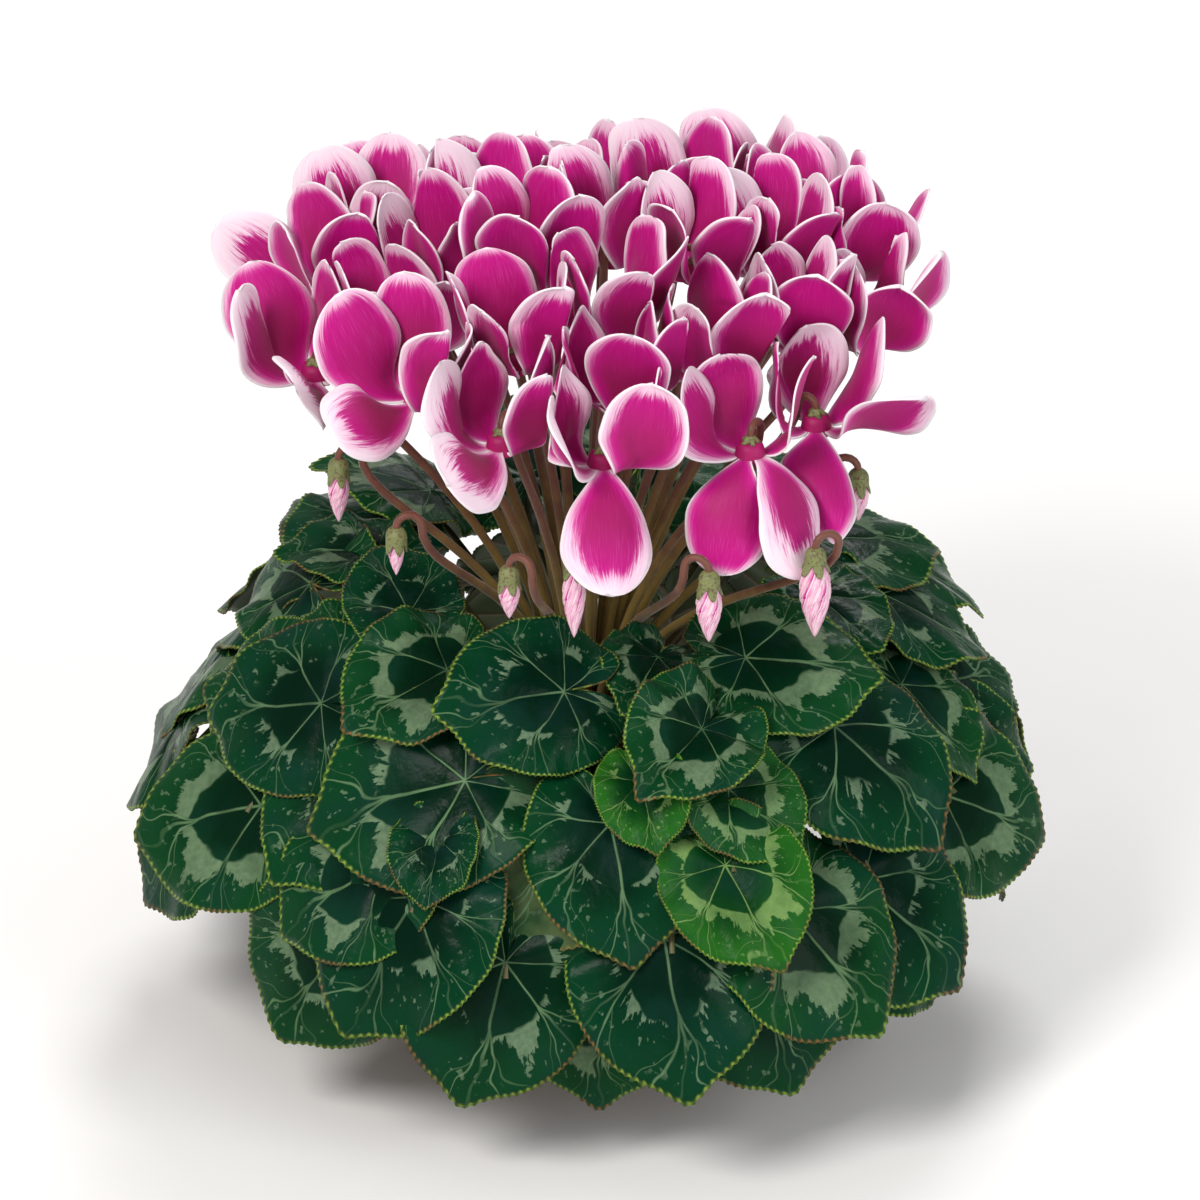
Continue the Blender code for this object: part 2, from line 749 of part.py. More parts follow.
def build_stalks(look):
    bm = bmesh.new()
    bmesh.ops.create_cone(bm, cap_ends=True, segments=12, radius1=DISC_RADIUS * MM,
                          radius2=DISC_RADIUS * 0.8 * MM, depth=CROWN_THICK * MM)
    bmesh.ops.translate(bm, verts=bm.verts[:], vec=(0, 0, (CROWN_BASE + CROWN_THICK / 2) * MM))
    pieces = [add_object("crown_disc", bm, look)]
    ends = []
    for bloom in BLOOMS:
        rim = from_view(*bloom[:3])
        tip = rim + Vector((0, 0, CUP_HEIGHT + GAP))
        ends.append((tip, facing(rim, bloom[3] + STALK_SIDE), HOOK_RADIUS))
    for across, up, depth, length, radius, hook_from in BUDS:
        top = from_view(across, up, depth)
        ends.append((top + Vector((0, 0, GAP)), math.radians(hook_from), HOOK_RADIUS * 1.2))
    for index, (tip, hook_from, hook_radius) in enumerate(ends):
        azimuth = math.atan2(tip.x, -tip.y)
        base_radius = 1 + 11 * min(math.hypot(tip.x, tip.y) / 130, 1)
        path = stalk_path(tip + Vector((0, 0, 1)), hook_from, hook_radius, azimuth, base_radius)
        bm = tube(path, lambda along: STALK_RADIUS * (1.15 - 0.3 * along), STALK_SIDES)
        pieces.append(add_object(f"stalk_{index + 1}", bm, look))
        pieces.append(add_object(f"calyx_{index + 1}", calyx_solid(tip), look))
    join("flower_stalks", pieces, look)


def build_buds(look):
    for index, (across, up, depth, length, radius, _) in enumerate(BUDS):
        bm = bud_solid(from_view(across, up, depth), length, radius)
        add_object(f"bud_{index + 1}", bm, look)


def main():
    clear_scene()
    build_pot(material("terracotta plastic", (0.30, 0.09, 0.045), 0.6))
    build_soil(material("peat soil", (0.03, 0.02, 0.014), 0.95))
    build_tuber(material("tuber skin", (0.13, 0.08, 0.05), 0.85))
    build_leaves(material("leaf", (0.01, 0.06, 0.03), 0.4))
    build_stalks(material("stalk", (0.16, 0.07, 0.03), 0.5))
    build_blooms(material("petal", (0.50, 0.0, 0.17), 0.55))
    build_buds(material("bud", (0.75, 0.42, 0.50), 0.55))


main()
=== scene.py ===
"""The florist's cyclamen dressed for its picture: fine leaves, petals and finishes.

Every leaf, petal and stalk lies where the CAD model has it. The placing values and the
functions that work out a leaf or a petal are the same as in the part, in millimetres,
and are put into metres where a mesh is made.
"""

import json
import math
import random

import bmesh
import bpy
import numpy as np
from mathutils import Matrix, Vector, noise

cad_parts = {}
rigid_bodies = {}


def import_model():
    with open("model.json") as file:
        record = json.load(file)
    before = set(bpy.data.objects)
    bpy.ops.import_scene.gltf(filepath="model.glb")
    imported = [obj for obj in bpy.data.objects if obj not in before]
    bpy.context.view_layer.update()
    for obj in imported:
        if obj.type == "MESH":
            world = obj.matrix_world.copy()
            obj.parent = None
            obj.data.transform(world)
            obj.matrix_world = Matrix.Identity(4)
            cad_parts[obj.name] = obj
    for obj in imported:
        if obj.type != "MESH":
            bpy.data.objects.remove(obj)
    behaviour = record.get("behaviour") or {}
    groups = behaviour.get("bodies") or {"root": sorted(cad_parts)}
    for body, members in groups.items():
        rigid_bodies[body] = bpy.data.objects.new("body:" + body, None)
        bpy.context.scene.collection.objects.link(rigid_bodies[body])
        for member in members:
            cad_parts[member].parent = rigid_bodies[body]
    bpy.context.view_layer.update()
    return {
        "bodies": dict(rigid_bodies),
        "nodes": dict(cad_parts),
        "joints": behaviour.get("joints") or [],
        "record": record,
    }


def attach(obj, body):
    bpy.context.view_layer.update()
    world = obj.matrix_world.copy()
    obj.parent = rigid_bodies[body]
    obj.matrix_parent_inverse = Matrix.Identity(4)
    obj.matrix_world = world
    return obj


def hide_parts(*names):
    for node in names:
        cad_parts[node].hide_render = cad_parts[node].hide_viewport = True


MM = 0.001
GAP = 0.3

# The camera: the photograph looks down on the plant, and one pixel shows this many
# millimetres at the pot's axis, whose foot is at this pixel
VIEW_TILT = math.radians(27)
VIEW_SCALE = 0.40
AXIS_FOOT = (585, 986)
IMAGE_SIZE = 1200
CAMERA_DISTANCE = 6.0
SENSOR = 36

# Each light's name, place, aim and width in metres, its power and its colour
LIGHTS = (
    ("key", (-0.9, -1.3, 1.6), (0, 0, 0.2), 0.9, 33, (1, 0.98, 0.95)),
    ("fill", (1.2, -1.2, 0.9), (0, 0, 0.15), 1.2, 13, (0.95, 0.98, 1)),
    ("back", (0.3, 1.3, 1.5), (0, 0, 0.25), 0.8, 20, (1, 1, 1)),
)
SKY_LIGHT = 0.42

# The pot, the soil in it and the tuber
POT_HEIGHT = 118
POT_FOOT_RADIUS = 47
POT_RIM_RADIUS = 64
POT_WALL = 2.4
POT_INSIDE = 98  # the plain part of the inner wall, above the floor
POT_SIDES = 120
SOIL_SIDES = 144
TUBER_SIDES = 72
LIP_HEIGHT = 16
LIP_WIDTH = 2.5
DRAIN_RADIUS = 5
DRAIN_RING = 30
DRAINS = 6
SOIL_TOP = 107
SOIL_RINGS = 18
TUBER_RADIUS = 33
TUBER_TOP = 122.5
TUBER_BOTTOM = 94
TUBER_MIDDLE = (TUBER_TOP + TUBER_BOTTOM) / 2
TUBER_SHRINK = 0.035  # how deep the hollows between its lumps are, as a share of its size
TUBER_CROWN = 27  # radius of the flat crown that everything grows from

# The crown ring that carries the leaf stalks, and the disc that carries the flower stalks
CROWN_SIDES = 48
CROWN_BASE = TUBER_TOP + GAP
CROWN_THICK = 4
DISC_RADIUS = 15
RING_INNER = 17
RING_OUTER = 26

# Leaves. The mound is the surface that the leaf hubs lie on: radius and height, from
# its open middle over the top and down the side.
MOUND = ((30, 150), (48, 182), (72, 197), (100, 190), (128, 165), (150, 130),
         (162, 100), (159, 72), (144, 49), (120, 31))
PETIOLE_RADIUS = 1.35
PETIOLE_RUN = 27
PETIOLE_STEPS = 9
PETIOLE_SIDES = 8
# The outline of a leaf: distance from the hub as a share of the length to the tip,
# at angles from the tip round to the notch
OUTLINE_ANGLE = (0, 12, 30, 55, 85, 115, 140, 160, 172, 180)
OUTLINE_REACH = (1.0, 0.93, 0.86, 0.75, 0.64, 0.60, 0.58, 0.52, 0.36, 0.05)
LOWEST = 4  # no leaf comes nearer to the ground than this
LEAF_TILT = 14  # how far a tip stands off the mound, in degrees
LEAF_DROOP = 150  # radius that a leaf is bent down to
LEAF_SWAY = 9  # how far a leaf may lean out of the mound's surface, in degrees
LEAF_WAVE = 0.065

# Leaves that the photograph shows: azimuth from the front, way down the mound, turn of
# the tip from straight down (both turns run towards +X in front), length, lift off the
# mound and fold
SEEN_LEAVES = (
    (-51, 130, -63, 56, 7, 0.0),
    (-64, 137, -68, 50, -3, 0.1),
    (-84, 103, -72, 50, 3, 0.0),
    (-86, 76, -10, 38, 3, 0.3),
    (-50, 82, -110, 36, 4, 0.2),
    (-31, 98, -25, 48, 1, 0.5),
    (-56, 177, -56, 62, 1, 0.0),
    (-20, 140, -66, 64, 3, 0.2),
    (-31, 179, -48, 52, 0, 0.2),
    (-22, 164, 5, 28, 6, 0.6),
    (-24, 187, -24, 62, 5, 0.0),
    (-11, 209, -14, 60, -1, 0.1),
    (-37, 214, -26, 58, -4, 0.1),
    (-4, 103, -74, 50, 8, 0.0),
    (21, 122, -55, 42, 9, 0.7),
    (9, 138, 6, 29, 8, 0.5),
    (4, 153, 8, 54, 6, 0.0),
    (0, 148, -36, 62, -5, 0.2),
    (23, 145, 34, 37, 9, 0.2),
    (20, 173, 16, 45, 10, 0.3),
    (37, 97, 52, 52, 3, 0.0),
    (19, 82, -40, 33, -2, 0.2),
    (11, 198, 3, 62, 3, 0.0),
    (84, 112, 6, 48, 6, 0.0),
    (70, 90, -28, 38, 1, 0.2),
    (46, 135, 18, 60, 7, 0.0),
    (69, 138, -6, 46, 2, 0.2),
    (80, 152, 58, 48, 2, 0.2),
    (74, 172, 46, 48, 0, 0.1),
    (64, 182, 46, 58, 3, 0.1),
    (43, 195, 30, 60, 0, 0.1),
    (29, 195, 28, 60, 5, 0.0),
    (24, 216, 14, 58, -3, 0.1),
    (98, 86, 14, 52, 2, 0.0),
    (-96, 76, -52, 48, 1, 0.1),
    (-40, 150, -20, 52, -6, 0.2),
    (-72, 196, -20, 56, -3, 0.1),
    (84, 205, 12, 54, -4, 0.1),
    (-60, 112, -20, 46, -6, 0.2),
    (58, 112, 10, 46, -6, 0.1),
    (2, 225, 0, 50, -7, 0.1),
    (55, 226, 20, 50, -7, 0.1),
)
# Leaves on the far side, by rule: way down the mound, how many, first and last azimuth
BACK_ROWS = (
    (68, 4, 125, 235),
    (108, 6, 108, 262),
    (146, 7, 100, 258),
    (184, 7, 108, 268),
    (218, 6, 104, 262),
)
BACK_LENGTH = 54
BACK_TURN = 26
BACK_LIFT = 4
LEAF_SEED = 11

# Blooms: across, up and into the picture, as seen along the photograph's view, a turn
# about the upright and how far each of the five petals stands up, from straight out,
# in degrees. The first petal faces away from the plant's middle, unless the bloom is
# turned, and the others follow to the right. A bloom whose first petal hangs has the
# petals beside it closer to the front.
UPRIGHT = (84, 80, 88, 88, 80)
BLOOMS = (
    (7, 205, -100, 0, (-62, 80, 88, 88, 84)),
    (64, 209, -86, -62, (-66, -72, 82, 86, 84)),
    (-32, 212, -94, 0, (30, 82, 88, 86, 78)),
    (-64, 230, -70, 0, (10, 84, 88, 86, 80)),
    (-105, 240, -28, 0, (74, 40, 86, 90, 76)),
    (90, 220, -52, 0, (44, 80, 88, 90, -50)),
    (-26, 244, -56, 0, (70, 82, 88, 88, 80)),
    (-76, 250, -19, 0, UPRIGHT),
    (49, 242, -45, 0, UPRIGHT),
    (82, 254, -15, 0, UPRIGHT),
    (12, 257, -36, 0, (66, 82, 88, 88, 84)),
    (108, 254, 0, 0, UPRIGHT),
    (-98, 274, 26, 0, (50, 84, 88, 88, 80)),
    (-53, 274, 11, 0, UPRIGHT),
    (-22, 277, -6, 0, UPRIGHT),
    (44, 280, 8, 0, (40, 84, 88, 90, 76)),
    (75, 280, 24, 5, UPRIGHT),
    (100, 280, 36, 0, (56, 80, 88, 88, 80)),
    (-80, 290, 54, 0, UPRIGHT),
    (-42, 288, 44, 0, UPRIGHT),
    (-19, 291, 80, 0, UPRIGHT),
    (11, 287, 32, 0, (40, 84, 88, 88, 80)),
    (8, 296, 112, 0, UPRIGHT),
    (38, 297, 70, 0, UPRIGHT),
    (65, 300, 98, 0, UPRIGHT),
    (87, 290, 62, 0, UPRIGHT),
    (-74, 288, 92, 0, UPRIGHT),
    (-40, 293, 110, 0, UPRIGHT),
    (13, 229, -69, 0, UPRIGHT),
)
PETAL_AZIMUTHS = (0, 68, 134, 236, 298)
HUNG_AZIMUTHS = (0, 48, 118, 242, 312)
PETAL_LENGTH = 50
PETAL_HALF_WIDTH = 17.5
PETAL_BASE = 2.4
PETAL_WIDEST = 0.6
PETAL_TWIST = 44
PETAL_RAMP = 0.22  # how soon a petal has turned up, as a share of its length
PETAL_SEED = 5
CUP_RADIUS = 6.2
CUP_HEIGHT = 7
CUP_LIP = 1.0
CUP_DENT = 2.5
CUP_PROFILE = (
    (0, CUP_HEIGHT),
    (CUP_RADIUS * 0.75, CUP_HEIGHT),
    (CUP_RADIUS, 0.4),
    (CUP_RADIUS - CUP_LIP, 0),
    (0, CUP_DENT),
)
CELL_HEIGHT = 20  # the middle of a bloom, above the rim of its cup
CELL_MARGIN = 0.9
CELL_SOFT = 1.5  # how softly a petal turns away from the next bloom
HOOK_CLEAR = 15.5

# Buds: across, up and into the picture for the top of the bud, then its length, its
# radius and the direction its hook comes from, in degrees from the front
BUDS = (
    (-96, 207, -42, 25, 4.6, 120),
    (-73, 180, -86, 18, 3.4, 100),
    (-29, 165, -118, 20, 4.6, 60),
    (-4, 170, -124, 34, 5.0, 180),
    (48, 163, -123, 28, 5.6, -110),
    (89, 172, -116, 36, 6.8, 115),
    (107, 203, -26, 20, 4.6, -95),
)

# Flower stalks and the small green calyx at the end of each
STALK_RADIUS = 1.7
STALK_UPRIGHT = 26  # how far below its hook a stalk starts to turn upright
HOOK_RADIUS = 4.2
STALK_SIDE = 176  # azimuth of a bloom's stalk, counted like its petals' azimuths
CALYX_RADIUS = 4.2
CALYX_HEIGHT = 3.4

# Finer steps than the CAD model's, and the relief that only the picture needs
LEAF_AROUND = 216
LEAF_RINGS = 9
LEAF_GROUPS = 4
LEAF_SHEET = 0.7
TOOTH = 0.7
VEINS = 7
QUILT = 0.9
RIPPLE = 1.0
TIP_DRAW = 0.05
TIP_REACH = 0.02
# How young single leaves are; below nought is an old, yellowing leaf
YOUNG_LEAVES = {15: 0.6, 19: 0.55, 17: -0.7, 18: 0.3}
PETAL_ACROSS = 14
PETAL_ALONG = 28
PETAL_SHEET = 0.7
PETAL_WAVE = 1.5
PETAL_NICK = 0.012
STALK_SIDES = 10
STALK_STEPS = 14
HOOK_STEPS = 8
CUP_SIDES = 30
CAP_SIDES = 40
CAP_ROWS = 8
CALYX_ROOT = Vector((0, 0, 0.15))
# A bud's calyx is a bell, full so far down, whose sepals hang over the petals. Its rows
# lie at these shares of the way down a sepal, and the last ones turn in behind its edge.
CALYX_BELL = 4.3
BELL_GROWTH = 4.5
SEPAL_DRAPE = 8
SEPAL_DEPTHS = (0, 0.07, 0.16, 0.28, 0.42, 0.56, 0.7, 0.84, 0.94, 1, 0.97, 0.85, 0.65)
SEPAL_CLEAR = 0.8
SEPAL_SHEET = 0.6
SEPAL_FURROW = 0.06
BUD_AROUND = 60
BUD_ALONG = 26
FINISH_SEED = 21
CROWN_RING = (
    (RING_INNER, CROWN_BASE),
    (RING_OUTER, CROWN_BASE),
    (RING_OUTER - 1, CROWN_BASE + CROWN_THICK * 0.8),
    (RING_INNER, CROWN_BASE + CROWN_THICK),
    (RING_INNER, CROWN_BASE),
)
CROWN_DISC = (
    (0, CROWN_BASE),
    (DISC_RADIUS, CROWN_BASE),
    (DISC_RADIUS * 0.8, CROWN_BASE + CROWN_THICK),
    (0, CROWN_BASE + CROWN_THICK),
)


def ease(share):
    share = min(max(share, 0), 1)
    return share * share * (3 - 2 * share)


def outward(azimuth):
    """The level direction at an azimuth in radians: 0 faces the camera."""
    return Vector((math.sin(azimuth), -math.cos(azimuth), 0))


def curve_point(ends, share):
    """A point on the curve from the first to the last of three points."""
    start, bend, end = ends
    return start * (1 - share) ** 2 + bend * (2 * share * (1 - share)) + end * share**2


def mound_point(way):
    """Radius, height and the downward direction (radius, height) on the mound."""
    points = np.array(MOUND, float)
    lengths = np.hypot(*np.diff(points, axis=0).T)
    ways = np.concatenate(([0], np.cumsum(lengths)))

    def at(distance):
        return np.array([np.interp(distance, ways, points[:, axis]) for axis in (0, 1)])

    slope = at(way + 12) - at(way - 12)
    return (*at(way), *(slope / np.hypot(*slope)))


def leaf_frame(azimuth, way, turn, lift, tilt, roll):
    """Hub, tip direction, side direction and normal of a leaf on the mound."""
    radius, height, run, drop = mound_point(way)
    angle = math.radians(azimuth)
    out = outward(angle)
    up = Vector((0, 0, 1))
    down = out * run + up * drop
    normal = up * run - out * drop
    side = Vector((math.cos(angle), math.sin(angle), 0))
    turn = math.radians(turn)
    tip = down * math.cos(turn) + side * math.sin(turn)
    hub = out * radius + up * height + normal * lift
    tip = (tip + normal * math.tan(math.radians(tilt))).normalized()
    across = (normal.cross(tip).normalized() + normal * math.tan(math.radians(roll))).normalized()
    across = (across - tip * across.dot(tip)).normalized()
    return hub, tip, across, tip.cross(across)


def leaf_reach(angle):
    """Distance from hub to edge at an angle from the tip, as a share of the length."""
    return np.interp(abs(math.degrees(angle)), OUTLINE_ANGLE, OUTLINE_REACH)


def leaf_point(leaf, around, share):
    """A point of a leaf's middle surface: around in 0 to 1, share from hub to edge."""
    hub, tip, across, normal, length, fold, phase = leaf
    angle = 2 * math.pi * (around - 0.5)
    reach = leaf_reach(angle) * length * share
    ahead = reach * math.cos(angle)
    aside = reach * math.sin(angle)
    rise = fold * abs(aside) * 0.6 - (ahead**2 + aside**2) / (2 * LEAF_DROOP)
    rise += LEAF_WAVE * length * share**2 * math.sin(4 * angle + phase) * math.sin(angle / 2) ** 2
    rise += LEAF_WAVE * length * share**2 * math.sin(5 * angle + 2 * phase) * 0.6
    point = hub + tip * ahead + across * aside + normal * rise
    point.z = max(point.z, LOWEST + 0.5)
    return point


def all_leaves():
    rng = random.Random(LEAF_SEED)
    listed = list(SEEN_LEAVES)
    for row, (way, count, first, last) in enumerate(BACK_ROWS):
        for index in range(count):
            azimuth = first + (last - first) * index / (count - 1)
            turn = rng.uniform(-BACK_TURN, BACK_TURN)
            length = BACK_LENGTH * rng.uniform(0.85, 1.1)
            lift = BACK_LIFT * (1 if (index + row) % 2 else -1)
            listed.append((azimuth, way, turn, length, lift, rng.uniform(0, 0.2)))
    leaves = []
    for azimuth, way, turn, length, lift, fold in listed:
        tilt = LEAF_TILT + rng.uniform(-LEAF_SWAY, LEAF_SWAY)
        frame = leaf_frame(azimuth, way, turn, lift, tilt, rng.uniform(-LEAF_SWAY, LEAF_SWAY))
        leaves.append((*frame, length, fold, rng.uniform(0, 2 * math.pi)))
    return leaves


def from_view(across, up, depth):
    """The point that the photograph shows so far across and up, at a given depth."""
    height = (up - depth * math.sin(VIEW_TILT)) / math.cos(VIEW_TILT)
    return Vector((across, depth, height))


def petal_centre_line(lift, curl, steps=24):
    """Points (out, up) and directions of a petal's middle from the cup's rim."""
    points = [(CUP_RADIUS - 1.8, 2)]
    angles = []
    for step in range(steps + 1):
        share = step / steps
        angle = math.radians(lift * (1 - math.exp(-share / PETAL_RAMP)) - 14 * math.exp(-share / 0.05))
        angle -= math.radians(curl) * share**2
        angles.append(angle)
        radius, height = points[-1]
        length = PETAL_LENGTH / steps
        points.append((radius + math.cos(angle) * length, height + math.sin(angle) * length))
    return points[:-1], angles


def petal_half_width(share):
    if share < PETAL_WIDEST:
        rise = math.sin(math.pi / 2 * share / PETAL_WIDEST) ** 1.25
        return PETAL_BASE + (PETAL_HALF_WIDTH - PETAL_BASE) * rise
    back = (share - PETAL_WIDEST) / (1 - PETAL_WIDEST)
    return PETAL_HALF_WIDTH * math.sqrt(max(1 - back * back, 0))


def petal_point(petal, share, across, raise_by=0):
    """A point of a petal: share along it, across from -1 to 1, raised off its middle."""
    rim, azimuth, size, twist, cup, line = petal
    points, angles = line
    place = share * (len(points) - 1)
    low = min(int(place), len(points) - 2)
    part = place - low
    radius = points[low][0] * (1 - part) + points[low + 1][0] * part
    height = points[low][1] * (1 - part) + points[low + 1][1] * part
    angle = angles[low] * (1 - part) + angles[low + 1] * part
    out = outward(azimuth)
    up = Vector((0, 0, 1))
    side = Vector((math.cos(azimuth), math.sin(azimuth), 0))
    normal = out * math.sin(angle) - up * math.cos(angle)
    turn = math.radians(twist) * ease(share / 0.5)
    width_way = side * math.cos(turn) + normal * math.sin(turn)
    face_way = normal * math.cos(turn) - side * math.sin(turn)
    half = petal_half_width(share)
    bend = cup * half * (across**2 - 0.35) * ease(share / 0.3)
    offset = out * radius + up * height
    offset += width_way * (across * half) + face_way * (bend + raise_by)
    return rim + offset * size


def keep_off_hook(point, rim, share):
    """Moves a petal's point clear of the hooked stalk inside the bloom."""
    offset = point - rim
    level = math.hypot(offset.x, offset.y)
    clear = HOOK_CLEAR * ease((offset.z - 1) / 7) * (1 - ease((offset.z - 24) / 8))
    if level < clear and level > 1e-6:
        push = (clear - level) * 0.9 * ease(share / 0.15)
        point = point + Vector((offset.x, offset.y, 0)) * (push / level)
    return point


def keep_in_cell(point, centre, others, share):
    """Bends a point back where it would reach into a neighbouring bloom's space."""
    for other in others:
        way = other - centre
        distance = way.length
        way = way / distance
        beyond = (point - centre).dot(way) - (distance / 2 - CELL_MARGIN)
        if beyond > -4 * CELL_SOFT:
            back = CELL_SOFT * math.log(1 + math.exp(beyond / CELL_SOFT))
            point = point - way * (back * ease(share / 0.15))
    return point


def facing(rim, turn):
    """The direction that a bloom's first petal faces."""
    return math.atan2(rim.x, -rim.y) + math.radians(turn)


def bloom_petals(rim, turned_by, lifts, rng):
    """The five petals of a bloom. The stalk's gap is on the plant's middle's side."""
    petals = []
    hung = lifts[0] < 0 < lifts[1]
    for azimuth, lift in zip(HUNG_AZIMUTHS if hung else PETAL_AZIMUTHS, lifts):
        lean = lift + rng.uniform(-7, 7)
        line = petal_centre_line(lean, rng.uniform(4, 26) if lift > 0 else 0)
        turn = facing(rim, turned_by) + math.radians(azimuth + rng.uniform(-3, 3))
        twist = PETAL_TWIST * rng.uniform(0.6, 1.25) * (1 if lift > 0 else 0.3)
        size = rng.uniform(0.93, 1.06)
        petals.append((rim, turn, size, twist, rng.uniform(0.1, 0.4), line))
    return petals


def stalk_path(tip, hook_from, hook_radius, base_azimuth, base_radius):
    """From the crown disc up to a hook whose end points down at tip."""
    back = outward(hook_from)
    start = outward(base_azimuth) * base_radius
    start.z = CROWN_BASE + CROWN_THICK * 0.4
    shoulder = tip + back * (2 * hook_radius) + Vector((0, 0, 1.5))
    way = shoulder - start
    rise = start + Vector((way.x * 0.22, way.y * 0.22, way.z * 0.62))
    under = shoulder - Vector((0, 0, STALK_UPRIGHT))
    path = []
    for step in range(STALK_STEPS + 1):
        share = step / STALK_STEPS
        first = curve_point((start, rise, under), share)
        second = curve_point((rise, under, shoulder), share)
        path.append(first.lerp(second, share))
    for step in range(1, HOOK_STEPS + 1):
        angle = math.pi * step / HOOK_STEPS
        reach = back * (hook_radius * (1 + math.cos(angle)))
        path.append(tip + reach + Vector((0, 0, 1.5 + hook_radius * math.sin(angle))))
    path.append(tip)
    return path


def grid_sheet(bm, across, along, place, layers=()):
    """Adds a mapped grid to bm, in millimetres, with its shares kept as a UV map."""
    made = bmesh.ops.create_grid(bm, x_segments=across, y_segments=along, size=0.5)
    verts = made["verts"]
    shares = {vert: (vert.co.x + 0.5, vert.co.y + 0.5) for vert in verts}
    faces = {face for vert in verts for face in vert.link_faces}
    for face in faces:
        for loop in face.loops:
            for layer, at in layers:
                loop[layer].uv = at(*shares[loop.vert])
    for vert in verts:
        vert.co = Vector(place(*shares[vert])) * MM
    bmesh.ops.remove_doubles(bm, verts=verts, dist=0.000004)
    return [face for face in faces if face.is_valid]


def stalk_tube(bm, path, radius, sides):
    """Adds an open-ended round tube along a path of points, which thins towards its end."""
    # A short step at either end keeps the tube's ends square
    first, last = path[0], path[-1]
    path = [first, first.lerp(path[1], 0.02), *path[1:-1], last.lerp(path[-2], 0.02), last]
    steps = len(path) - 1
    side = Vector((0, 1, 0)).cross(path[1] - path[0])
    if side.length < 1e-6:
        side = Vector((1, 0, 0))
    frames = []
    for index, point in enumerate(path):
        ahead = path[min(index + 1, steps)] - path[max(index - 1, 0)]
        ahead.normalize()
        side = (side - ahead * side.dot(ahead)).normalized()
        frames.append((point, side.copy(), ahead.cross(side)))

    def place(around, along):
        point, right, up = frames[round(along * steps)]
        angle = 2 * math.pi * around
        reach = radius * (1.15 - 0.3 * along)
        return point + (right * math.cos(angle) + up * math.sin(angle)) * reach

    grid_sheet(bm, sides, steps, place)


def add_object(name, data):
    added = bpy.data.objects.new(name, data)
    bpy.context.scene.collection.objects.link(added)
    return added


def mesh_of(name, bm):
    mesh = bpy.data.meshes.new(name)
    bm.to_mesh(mesh)
    bm.free()
    return mesh


def face_along(bm, faces, direction):
    """Turns a sheet over where it faces away from a direction."""
    if sum((face.normal * face.calc_area() for face in faces), Vector()).dot(direction) < 0:
        bmesh.ops.reverse_faces(bm, faces=faces)


def finish_mesh(name, bm, looks, slot, *nodes):
    """The object of a mesh that rides on the plant and stands for CAD nodes."""
    mesh = mesh_of(name, bm)
    for look in looks:
        mesh.materials.append(look)
    mesh.shade_smooth()
    piece = add_object(name, mesh)
    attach(piece, "root")
    if nodes:
        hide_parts(*nodes)
    return piece


def finish_solid(name, bm, look, slot, *nodes):
    """The object of a mesh in one finish, with its faces turned outwards."""
    bmesh.ops.recalc_face_normals(bm, faces=bm.faces[:])
    return finish_mesh(name, bm, (look,), slot, *nodes)


def give_wall(piece, thickness):
    """A live Solidify that gives a sheet its thickness to both sides and two finishes."""
    wall = piece.modifiers.new("wall", "SOLIDIFY")
    wall.thickness = thickness * MM
    wall.offset = 0
    wall.material_offset = 1
    wall.use_even_offset = False


